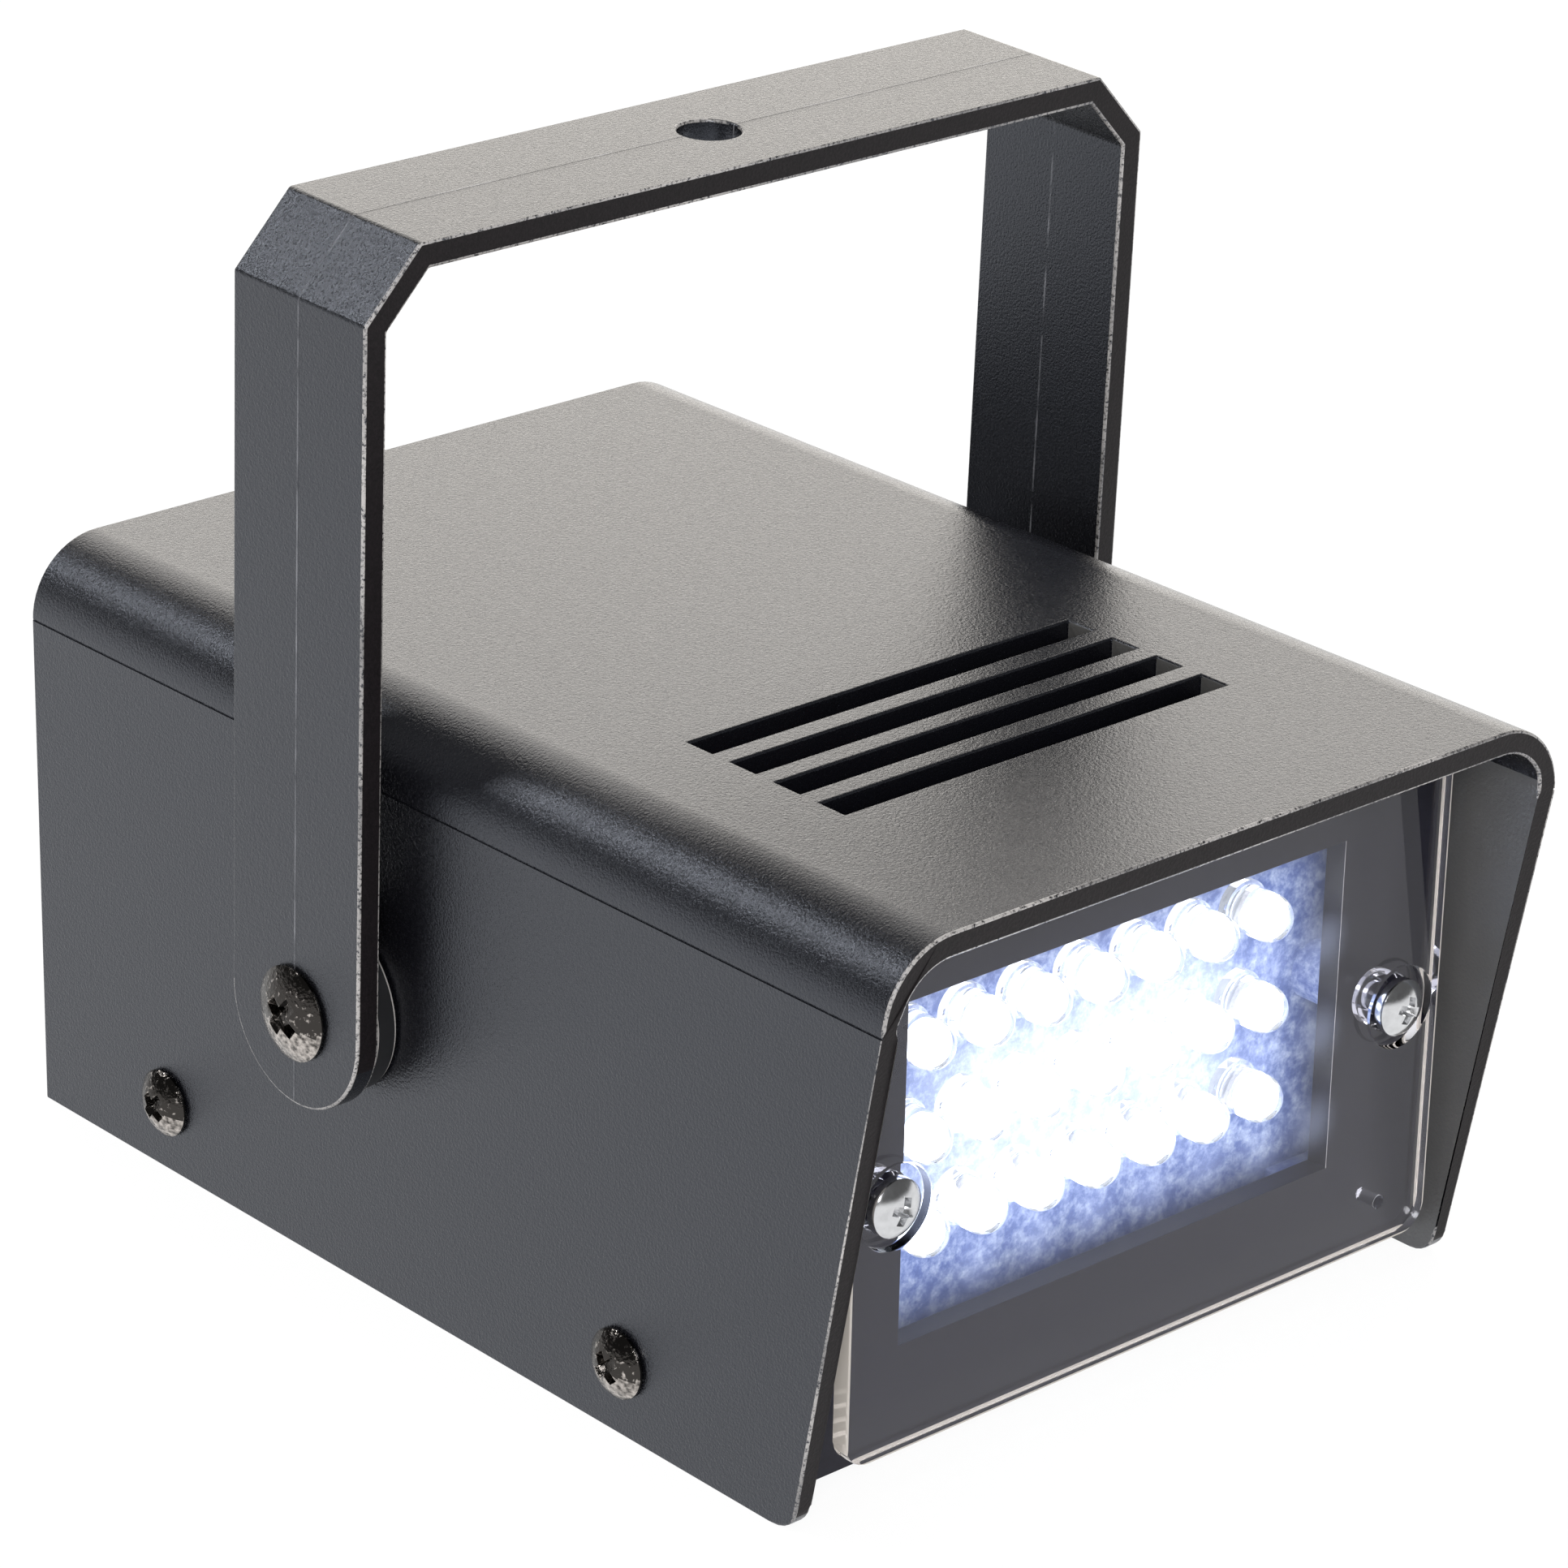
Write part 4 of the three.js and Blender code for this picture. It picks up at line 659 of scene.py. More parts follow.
def lit_laminate(name, glow, bright, front):
    """Solder-masked laminate flooded by its LEDs: mottled lavender light, dying off at the edges."""
    material, tree = new_material(name)
    place = add_node(tree, "ShaderNodeTexCoord", out="Object")
    mottle = add_node(tree, "ShaderNodeTexNoise", {"Vector": place, "Scale": 1 / MOTTLE_SIZE,
                                                   "Detail": 6, "Roughness": 0.7}, out="Fac")
    depth = add_node(tree, "ShaderNodeSeparateXYZ", {"Vector": place}, out="Y")
    lit_side = add_node(tree, "ShaderNodeMath", {0: depth, 1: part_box("led_board")[0].y + NEAR},
                        out="Value", operation="LESS_THAN")
    falloff = add_node(tree, "ShaderNodeMath", {0: soft_frame(tree, place, *front["board"]),
                                                1: lit_side}, out="Value", operation="MULTIPLY")
    patches = add_node(tree, "ShaderNodeMapRange",
                       {"Value": mottle, "From Min": 0.36, "From Max": 0.68, "To Min": 0.72,
                        "To Max": 1.2}, out="Result")
    flood = soft_frame(tree, place, *front["flood"])
    swell = add_node(tree, "ShaderNodeMapRange",
                     {"Value": flood, "To Min": 0.95, "To Max": 1.35}, out="Result")
    mottled = add_node(tree, "ShaderNodeMath", {0: falloff, 1: patches}, out="Value",
                       operation="MULTIPLY")
    strength = add_node(tree, "ShaderNodeMath", {0: mottled, 1: swell}, out="Value",
                        operation="MULTIPLY")
    whitened = add_node(tree, "ShaderNodeMath", {0: flood, 1: FLOOD_WHITENING}, out="Value",
                        operation="MULTIPLY")
    tint = add_node(tree, "ShaderNodeMix",
                    {"Factor": whitened, "A": patchy(tree, mottle, 0.42, 0.74, rgba(glow),
                                                     rgba(bright)), "B": rgba(bright)},
                    out="Result", data_type="RGBA")
    skin = add_node(tree, "ShaderNodeBsdfPrincipled",
                    {"Base Color": rgba(linear("#2c3050")), "Roughness": 0.4,
                     "Emission Color": tint, "Emission Strength": strength}, out="BSDF")
    add_node(tree, "ShaderNodeOutputMaterial", {"Surface": skin})
    return material


def board_laminate(name):
    """Glass-epoxy board under green solder mask: fine woven mottling and a waxy gloss."""
    material, tree = new_material(name)
    place = add_node(tree, "ShaderNodeTexCoord", out="Object")
    weave = add_node(tree, "ShaderNodeTexNoise", {"Vector": place, "Scale": 1 / WEAVE_SIZE,
                                                  "Detail": 2}, out="Fac")
    shade = patchy(tree, weave, 0.35, 0.65, rgba(linear("#0d3b24")), rgba(linear("#14502f")))
    skin = add_node(tree, "ShaderNodeBsdfPrincipled",
                    {"Base Color": shade, "Roughness": 0.35, "IOR": 1.5}, out="BSDF")
    add_node(tree, "ShaderNodeOutputMaterial", {"Surface": skin})
    return material


def clear_selection():
    """Go to object mode with nothing selected."""
    if bpy.context.mode != "OBJECT":
        bpy.ops.object.mode_set(mode="OBJECT")
    bpy.ops.object.select_all(action="DESELECT")


def activate(piece):
    """Select one piece alone, in object mode."""
    clear_selection()
    piece.select_set(True)
    bpy.context.view_layer.objects.active = piece


def settle(piece, name):
    """Move a piece's place and scale into its mesh, and name both."""
    activate(piece)
    bpy.ops.object.transform_apply(location=True, rotation=True, scale=True)
    piece.name = name
    piece.data.name = name
    return piece


def block(name, low, high):
    """A cube primitive that fills the space between two corners."""
    clear_selection()
    low, high = Vector(low), Vector(high)
    bpy.ops.mesh.primitive_cube_add(size=1, location=(low + high) / 2, scale=high - low)
    return settle(bpy.context.active_object, name)


def rod(name, radius, start, end, sides=48):
    """A cylinder primitive from one point to another."""
    clear_selection()
    start, end = Vector(start), Vector(end)
    turn = (end - start).to_track_quat("Z", "Y").to_euler()
    bpy.ops.mesh.primitive_cylinder_add(vertices=sides, radius=radius, depth=(end - start).length,
                                        location=(start + end) / 2, rotation=turn)
    return settle(bpy.context.active_object, name)


def pick(piece, mode, test):
    """In edit mode, select the vertices, edges or faces that pass the test."""
    if bpy.context.mode != "EDIT_MESH":
        activate(piece)
        bpy.ops.object.mode_set(mode="EDIT")
    bpy.ops.mesh.select_mode(type=mode)
    bpy.ops.mesh.select_all(action="DESELECT")
    shape = bmesh.from_edit_mesh(piece.data)
    items = {"VERT": shape.verts, "EDGE": shape.edges, "FACE": shape.faces}[mode]
    chosen = [item for item in items if test(item)]
    if not chosen:
        raise RuntimeError(f"nothing to select on {piece.name}")
    for item in chosen:
        item.select_set(True)
    bmesh.update_edit_mesh(piece.data)


def along(edge, axis):
    """Whether an edge runs along an axis, given as 0, 1 or 2."""
    step = edge.verts[1].co - edge.verts[0].co
    return abs(step[axis]) > step.length * PARALLEL


def middle(edge):
    """The middle of an edge."""
    return (edge.verts[0].co + edge.verts[1].co) / 2


def round_edges(piece, test, radius, steps):
    """Round the edges that pass the test."""
    pick(piece, "EDGE", test)
    bpy.ops.mesh.bevel(offset=radius, segments=steps, affect="EDGES")
    clear_selection()


def apply_modifier(piece, kind, **settings):
    """Add a modifier and apply it."""
    change = piece.modifiers.new(kind.lower(), kind)
    for key, value in settings.items():
        setattr(change, key, value)
    activate(piece)
    bpy.ops.object.modifier_apply(modifier=change.name)


def combine(piece, other, operation="DIFFERENCE"):
    """Cut the other object from a piece, or join the two, and drop the other."""
    apply_modifier(piece, "BOOLEAN", operation=operation, solver="EXACT", object=other)
    bpy.data.objects.remove(other)


def soften(piece, edge, steps=2, limit=SMOOTH_LIMIT, highlighted=None):
    """Round all sharp edges by the small radius that a mould leaves, with a painted highlight on them if given."""
    if highlighted:
        piece.data.materials.clear()
        piece.data.materials.append(material_for(highlighted))
        piece.data.materials.append(material_for(highlighted + "_edge"))
    apply_modifier(piece, "BEVEL", width=edge, segments=steps, limit_method="ANGLE",
                   angle_limit=math.radians(limit), material=1 if highlighted else -1,
                   use_clamp_overlap=not highlighted)


def drop_highlight(piece, test):
    """Take the painted highlight off the rounded edges that pass the test, so they get the piece's plain finish
    again.
    """
    for face in piece.data.polygons:
        if face.material_index == 1 and test(face):
            face.material_index = 0


def painted_shade(piece, slot, reach):
    """Give the front and rear faces, beyond a reach from the middle, the darker copy of the finish that paints
    shade on them.
    """
    piece.data.materials.append(material_for(slot + "_trim"))
    corners = [vertex.co.y for vertex in piece.data.vertices]
    centre = (min(corners) + max(corners)) / 2
    for face in piece.data.polygons:
        outer = abs(face.center.y - centre) > reach
        if abs(face.normal.y) > STRAIGHT and face.material_index == 0 and outer:
            face.material_index = len(piece.data.materials) - 1


def smooth(piece, limit=SMOOTH_LIMIT):
    """Shade a piece smoothly, with flat faces kept flat."""
    activate(piece)
    bpy.ops.object.shade_smooth_by_angle(angle=math.radians(limit))
    apply_modifier(piece, "WEIGHTED_NORMAL", keep_sharp=True)


def open_line(points):
    """Extrude a single vertex from point to point, and stay in edit mode with the line selected."""
    clear_selection()
    bpy.ops.mesh.primitive_plane_add(size=1)
    piece = bpy.context.active_object
    bpy.ops.object.mode_set(mode="EDIT")
    bpy.ops.mesh.select_mode(type="VERT")
    bpy.ops.mesh.select_all(action="SELECT")
    bpy.ops.mesh.merge(type="CENTER")
    bpy.ops.transform.translate(value=points[0])
    for start, end in zip(points, points[1:]):
        step = Vector(end) - Vector(start)
        bpy.ops.mesh.extrude_region_move(TRANSFORM_OT_translate={"value": step})
    bpy.ops.mesh.select_all(action="SELECT")
    return piece


def lathe(name, profile, steps=48):
    """Spin a profile of (radius, distance) pairs about the Y axis; distances run towards the rear."""
    piece = open_line([(radius, distance, 0) for radius, distance in profile])
    bpy.ops.mesh.spin(steps=steps, angle=2 * math.pi, center=(0, 0, 0), axis=(0, 1, 0))
    bpy.ops.mesh.select_all(action="SELECT")
    bpy.ops.mesh.remove_doubles(threshold=MERGE)
    bpy.ops.mesh.normals_make_consistent(inside=False)
    return settle(piece, name)


def arc(centre, radius, start, end, steps):
    """Points of an arc in a profile, from one angle in degrees to another."""
    turns = [math.radians(start + (end - start) * i / steps) for i in range(steps + 1)]
    return [(centre[0] + radius * math.cos(t), centre[1] + radius * math.sin(t)) for t in turns]


def copy_at(piece, name, place, turn=0, spin=0):
    """A copy with its own mesh, spun about Y, turned about Z and placed, all in the mesh."""
    made = piece.copy()
    made.data = piece.data.copy()
    bpy.context.scene.collection.objects.link(made)
    turned = Matrix.Rotation(turn, 4, "Z") @ Matrix.Rotation(spin, 4, "Y")
    made.matrix_world = Matrix.Translation(place) @ turned
    return settle(made, name)


def merged_copy(node, name):
    """A copy of a frame node as one clean shape, its flat faces joined."""
    source = frame["nodes"][node]
    clear_selection()
    piece = bpy.data.objects.new(name, source.data.copy())
    bpy.context.scene.collection.objects.link(piece)
    activate(piece)
    bpy.ops.object.mode_set(mode="EDIT")
    bpy.ops.mesh.select_all(action="SELECT")
    bpy.ops.mesh.remove_doubles(threshold=MERGE)
    bpy.ops.mesh.dissolve_limited(angle_limit=math.radians(1))
    piece.data.materials.clear()
    return settle(piece, name)


def hand_over(piece, slot, nodes, body="housing"):
    """Give a finished piece its slot's material if it has none, hang it on its body and hide the nodes that it
    stands for, once it matches their size.
    """
    low, high = Vector((1, 1, 1)), Vector((-1, -1, -1))
    for node in nodes:
        node_low, node_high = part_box(node)
        low = Vector(map(min, low, node_low))
        high = Vector(map(max, high, node_high))
    corners = [vertex.co for vertex in piece.data.vertices]
    for axis in range(3):
        reach = (min(c[axis] for c in corners), max(c[axis] for c in corners))
        if abs(reach[0] - low[axis]) > BOX_SLACK or abs(reach[1] - high[axis]) > BOX_SLACK:
            raise RuntimeError(f"{piece.name} isn't the size of its node on axis {axis}: "
                               f"{reach} against {low[axis]}, {high[axis]}")
    if not piece.data.materials:
        piece.data.materials.append(material_for(slot))
    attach(piece, body)
    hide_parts(*nodes)


def front_places():
    """Where the light falls on the board and the lens, in the frame's own places."""
    first, last = [(low + high) / 2 for low, high in
                   (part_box("led_row1_col1"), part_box(f"led_row{LED_ROWS}_col{LED_COLUMNS}"))]
    centre = (first + last) / 2
    half = ((last.x - first.x) / 2, (first.z - last.z) / 2)
    places = {"first": first, "pitch": ((last.x - first.x) / (LED_COLUMNS - 1),
                                        (first.z - last.z) / (LED_ROWS - 1))}
    for name, ((right, up), inner, outer) in FIELDS.items():
        places[name] = (centre + Vector((right, 0, up)) * MM,
                        [reach + past * MM for reach, past in zip(half, inner)],
                        [reach + past * MM for reach, past in zip(half, outer)])
    return places


def make_materials(colours, shells):
    """All materials of the object, by the record's slot names."""
    front = front_places()
    pivot = next(joint for joint in frame["joints"] if joint["child"] == "bracket")["pos_m"]
    # The mould line is painted paler, a painted highlight along its ridge
    line = {"centre": pivot, "tilt": shells.bracket_tilt, "colour": colours.mould_line,
            "half_width": shells.mould_line_width / 2}
    made = {
        # Skin from a spark-eroded die, painted pale along the edges as a highlight, with painted shade at the ends
        # and painted light inside
        "cover_plastic": grained_abs("ABS_spark_eroded_cover", colours.shell, MOULDED),
        "cover_plastic_edge": grained_abs("ABS_cover_painted_highlight", colours.shell, HIGHLIGHT_GRAIN,
                                          painted=colours.edge_highlight),
        "cover_plastic_trim": shaded_abs("ABS_cover_painted_shade", colours.painted_shade),
        "cover_plastic_inside": grained_abs("ABS_inside_painted_light", colours.inside, INSIDE_GRAIN),
        # From a plain die, so smoother than the cover, and painted pale at the window's edge as a highlight
        "chassis_plastic": smooth_plastic("ABS_moulded_chassis", colours.chassis, 0.3,
                                          unevenness=0.04, ior=CHASSIS_IOR),
        "chassis_plastic_edge": smooth_plastic("ABS_chassis_painted_highlight", colours.edge_highlight, 0.45),
        "bracket_plastic": grained_abs("ABS_spark_eroded_bracket", colours.bracket, MOULDED, line),
        "bracket_plastic_edge": grained_abs("ABS_bracket_painted_highlight", colours.bracket, HIGHLIGHT_GRAIN,
                                            painted=colours.edge_highlight),
        "bracket_plastic_trim": shaded_abs("ABS_bracket_painted_shade", colours.painted_shade),
        "clear_plastic": clear_sheet("Acrylic_clear_moulded", colours.clear, colours.lens_edge,
                                     colours.haze, front),
        # Plated steel: chrome, black zinc, black zinc brighter on the heads' lower side as a painted highlight,
        # bright zinc
        "chromed_screw": plated_steel("Steel_chrome_plated", colours.chrome, 0.12),
        "black_screw": black_plated_steel("Steel_black_zinc_plated", colours.black_screw, 0.12,
                                          SOUND_GLINTS),
        "black_screw_highlight": black_plated_steel("Steel_black_painted_highlight", colours.black_screw, 0.16,
                                               HIGHLIGHT_GLINTS),
        "zinc_steel": plated_steel("Steel_zinc_plated", colours.zinc, 0.3),
        # Cast epoxy round the lit chip, and glass-epoxy boards, lit and plain
        "led_epoxy": clear_epoxy("Epoxy_cast_clear", colours.led),
        "led_epoxy_core": lit_phosphor("Phosphor_potted_lit", colours.led),
        "led_board_laminate": lit_laminate("Laminate_lit", colours.glow, colours.glow_bright,
                                           front),
        "board_laminate": board_laminate("Glass_epoxy_solder_masked"),
        # Painted highlight on the spacers' rounded edges
        "black_nylon_edge": smooth_plastic("Nylon_painted_highlight", colours.edge_highlight, 0.45),
    }
    for slot, name, shade, roughness in PLASTICS:
        made[slot] = smooth_plastic(name, linear(shade), roughness)
    return made


def material_for(slot):
    """The object's material for one of the record's slots, made once."""
    scene = bpy.context.scene
    if "strobe_materials" not in scene:
        made = make_materials(scene.strobe_colours, scene.strobe_shells)
        scene["strobe_materials"] = {key: value.name for key, value in made.items()}
    return bpy.data.materials[scene["strobe_materials"][slot]]


def near(a, b):
    """Whether two lengths are the same."""
    return abs(a - b) < NEAR


class STROBE_OT_nodes(bpy.types.Operator):
    """Give every piece of the frame its material"""
    bl_idname = "strobe.nodes"
    bl_label = "Frame materials"

    def execute(self, context):
        for part in frame["record"]["subparts"]:
            slots = frame["nodes"][part["node"]].data.materials
            slots.clear()
            slots.append(material_for(part["material_slot"]))
        return {"FINISHED"}


class STROBE_OT_cover(bpy.types.Operator):
    """Model the cover: an inverted trough with a slanted hood, vent slots and a fine side seam"""
    bl_idname = "strobe.cover"
    bl_label = "Cover"

    def execute(self, context):
        sizes = context.scene.strobe_shells
        low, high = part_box("top_cover")
        cover = block("cover_shell", low, high)
        front_bottom = low.y + sizes.hood_overhang
        round_edges(cover, lambda e: along(e, 1) and near(middle(e).z, high.z),
                    sizes.roof_radius, sizes.roof_steps)
        self.slant(cover, front_bottom, high.z, sizes.hood_overhang)
        round_edges(cover, lambda e: along(e, 0) and near(middle(e).z, 0)
                    and near(middle(e).y, front_bottom), sizes.hood_corner,
                    sizes.corner_steps)
        inner = block("cover_space", (low.x + sizes.wall, low.y - OVERRUN, low.z - OVERRUN),
                      (high.x - sizes.wall, high.y + OVERRUN, high.z - sizes.roof))
        round_edges(inner, lambda e: along(e, 1) and near(middle(e).z, high.z - sizes.roof),
                    sizes.inner_radius, sizes.roof_steps)
        combine(cover, inner)
        self.cut_slots(cover, sizes, high.z)
        self.cut_screw_holes(cover, sizes, low, high)
        soften(cover, sizes.edge, steps=3, highlighted="cover_plastic")
        # The painted highlight stays only on the edges of the hood's front part
        drop_highlight(cover, lambda f: f.center.y > front_bottom)
        # Painted shade on the cover's front and rear faces
        painted_shade(cover, "cover_plastic", (high.y - low.y) / 2 - sizes.hood_overhang)
        self.paint_inside_light(cover, high.x - sizes.wall / 2)
        for side in (low.x, high.x):
            groove = block("groove", (side - sizes.seam_depth, low.y - OVERRUN,
                                      sizes.seam_height - sizes.seam_width / 2),
                           (side + sizes.seam_depth, high.y + OVERRUN,
                            sizes.seam_height + sizes.seam_width / 2))
            combine(cover, groove)
        smooth(cover)
        hand_over(cover, "cover_plastic", ["top_cover"])
        return {"FINISHED"}

    def paint_inside_light(self, cover, limit):
        """Give the inner sides a paler finish, painted light for the brightness inside the hood."""
        cover.data.materials.append(material_for("cover_plastic_inside"))
        for face in cover.data.polygons:
            if abs(face.normal.x) > STRAIGHT and abs(face.center.x) < limit:
                face.material_index = len(cover.data.materials) - 1

    def slant(self, cover, front_bottom, height, overhang):
        """Cut the front off along the hood's slanted plane."""
        pick(cover, "FACE", lambda f: True)
        bpy.ops.mesh.bisect(plane_co=(0, front_bottom, 0), plane_no=(0, -height, -overhang),
                            use_fill=True, clear_outer=True)
        clear_selection()

    def cut_slots(self, cover, sizes, top):
        """Cut the vent slots through the roof."""
        for index in range(sizes.slot_count):
            rear = -sizes.slot_setback - index * sizes.slot_pitch
            combine(cover, block("slot", (-sizes.slot_left, rear - sizes.slot_width,
                                          top - sizes.roof - OVERRUN),
                                 (sizes.slot_right, rear, top + OVERRUN)))

    def cut_screw_holes(self, cover, sizes, low, high):
        """Cut the holes that the side screws and pivot screws pass through."""
        for node in ("cover_screw_left_front", "cover_screw_left_rear", "pivot_screw_left"):
            screw_low, screw_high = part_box(node)
            place = (screw_low + screw_high) / 2
            pivot = node.startswith("pivot")
            radius = sizes.pivot_radius if pivot else sizes.screw_radius
            combine(cover, rod("hole", radius, (low.x - OVERRUN, place.y, place.z),
                               (high.x + OVERRUN, place.y, place.z), sides=24))


class STROBE_OT_chassis(bpy.types.Operator):
    """Finish the chassis: the frame's own shape with its edges rounded"""
    bl_idname = "strobe.chassis"
    bl_label = "Chassis"

    def execute(self, context):
        sizes = context.scene.strobe_shells
        chassis = merged_copy("chassis", "chassis_tray")
        soften(chassis, sizes.chassis_edge, limit=50)
        self.finish_window(chassis, sizes)
        smooth(chassis)
        hand_over(chassis, "chassis_plastic", ["chassis"])
        return {"FINISHED"}

    def finish_window(self, chassis, sizes):
        """Light what stands before the LED board, and paint a highlight on the window's right edge."""
        for slot in ("chassis_plastic", "led_board_laminate", "chassis_plastic_edge"):
            chassis.data.materials.append(material_for(slot))
        face_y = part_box("chassis")[0].y
        board_low, board_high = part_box("led_board")
        behind = face_y + sizes.front_wall + sizes.edge
        for face in chassis.data.polygons:
            place = face.center
            before_board = behind < place.y < board_low.y and board_low.z < place.z < board_high.z
            if before_board and abs(place.x) < board_high.x:
                face.material_index = 1
            # Painted highlight on the window's right front edge
            elif (abs(place.x - sizes.window_half) < sizes.edge and place.y < face_y + sizes.edge
                  and face.normal.x < -FLAT and face.normal.y < -FLAT):
                face.material_index = 2


class STROBE_OT_bracket(bpy.types.Operator):
    """Model the bracket: a bent strip with cut corners, round feet, holes and a fine mould line"""
    bl_idname = "strobe.bracket"
    bl_label = "Bracket"

    def execute(self, context):
        sizes = context.scene.strobe_shells
        low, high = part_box("bracket")
        joint = next(j for j in frame["joints"] if j["child"] == "bracket")
        pivot = Vector(joint["pos_m"])
        half, foot = high.x, sizes.bracket_width / 2
        top = pivot.z + sizes.bracket_rise
        knee = top - sizes.bevel_down
        points = [(-half, pivot.z - foot), (-half, knee), (-half + sizes.bevel_across, top),
                  (half - sizes.bevel_across, top), (half, knee), (half, pivot.z - foot)]
        bracket = self.strip(points, pivot.y - foot, sizes)
        round_edges(bracket, lambda e: along(e, 0) and near(middle(e).z, pivot.z - foot),
                    foot * FOOT_SHARE, sizes.foot_steps)
        self.cut_holes(bracket, pivot, top, sizes)
        soften(bracket, sizes.edge, steps=3, highlighted="bracket_plastic")
        # The painted highlight stays on the feet and the front edges, and is taken off the rest
        drop_highlight(bracket, lambda f: f.center.z > pivot.z
               and (abs(f.normal.y) < FLAT or f.center.y > pivot.y + foot * EDGE_SHARE))
        # Painted shade on the bracket's front and rear faces
        painted_shade(bracket, "bracket_plastic", foot * EDGE_SHARE)
        self.mould_line(bracket, pivot, sizes)
        activate(bracket)
        bpy.ops.object.mode_set(mode="EDIT")
        bpy.ops.mesh.select_all(action="SELECT")
        bpy.ops.transform.rotate(value=-sizes.bracket_tilt, orient_axis="X", orient_type="GLOBAL",
                                 center_override=pivot)
        clear_selection()
        smooth(bracket)
        hand_over(bracket, "bracket_plastic", ["bracket"], "bracket")
        return {"FINISHED"}

    def strip(self, points, front, sizes):
        """Extrude the outer line point by point, then to its width, and give it its thickness."""
        piece = open_line([(x, front, z) for x, z in points])
        bpy.ops.mesh.extrude_region_move(
            TRANSFORM_OT_translate={"value": (0, sizes.bracket_width, 0)})
        bpy.ops.mesh.select_all(action="SELECT")
        bpy.ops.mesh.normals_make_consistent(inside=False)
        settle(piece, "bracket_strip")
        roof = next(f for f in piece.data.polygons if abs(f.normal.z) > STRAIGHT)
        apply_modifier(piece, "SOLIDIFY", thickness=sizes.bracket_thickness,
                       offset=-1 if roof.normal.z > 0 else 1, use_even_offset=True)
        return piece

    def cut_holes(self, bracket, pivot, top, sizes):
        """Cut the bolt hole in the crossbar and the pivot holes in the legs."""
        deep = sizes.bracket_thickness + OVERRUN
        combine(bracket, rod("bolt_hole", sizes.bolt_radius, (0, pivot.y, top - deep),
                             (0, pivot.y, top + OVERRUN), sides=64))
        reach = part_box("bracket")[1].x + OVERRUN
        combine(bracket, rod("pivot_hole", sizes.pivot_radius, (-reach, pivot.y, pivot.z),
                             (reach, pivot.y, pivot.z), sides=32))

    def mould_line(self, bracket, pivot, sizes):
        """Raise the fine ridge along the middle of the outer faces."""
        half = sizes.mould_line_width / 2
        for offset in (-half, half):
            pick(bracket, "FACE", lambda f: True)
            bpy.ops.mesh.bisect(plane_co=(0, pivot.y + offset, 0), plane_no=(0, 1, 0))

        def outside(face):
            centre = face.calc_center_median()
            outward = Vector((centre.x, 0, centre.z - pivot.z)).dot(face.normal) > 0
            flat = abs(face.normal.y) < EXACTLY_FLAT and face.calc_area() > LINE_FACE
            return abs(centre.y - pivot.y) < half and outward and flat

        pick(bracket, "FACE", outside)
        bpy.ops.mesh.extrude_region_shrink_fatten(
            TRANSFORM_OT_shrink_fatten={"value": sizes.mould_line_height})
        clear_selection()


class STROBE_OT_lens(bpy.types.Operator):
    """Model the lens: a clear plate with posts, counterbores and locating pegs"""
    bl_idname = "strobe.lens"
    bl_label = "Lens"

    def execute(self, context):
        sizes = context.scene.strobe_front
        low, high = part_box("lens_cover")
        back = low.y + sizes.lens_thickness
        lens = block("lens_plate", low, (high.x, back, high.z))
        round_edges(lens, lambda e: along(e, 1), sizes.lens_corner, LENS_STEPS)
        for side in (-1, 1):
            x = side * sizes.post_place
            combine(lens, rod("post", sizes.post_radius, (x, back - OVERRUN, sizes.post_height),
                              (x, high.y, sizes.post_height)), "UNION")
            x_peg = side * sizes.peg_place
            height = sizes.peg_low if side > 0 else sizes.peg_high
            combine(lens, rod("peg", sizes.peg_radius, (x_peg, back - OVERRUN, height),
                              (x_peg, high.y - sizes.peg_gap, height), sides=24), "UNION")
            combine(lens, rod("counterbore", sizes.counterbore_radius,
                              (x, low.y - OVERRUN, sizes.post_height),
                              (x, low.y + sizes.counterbore_depth, sizes.post_height)))
            combine(lens, rod("screw_hole", sizes.screw_hole,
                              (x, low.y - OVERRUN, sizes.post_height),
                              (x, high.y + OVERRUN, sizes.post_height), sides=32))
        soften(lens, sizes.lens_edge)
        smooth(lens)
        hand_over(lens, "clear_plastic", ["lens_cover"])
        return {"FINISHED"}


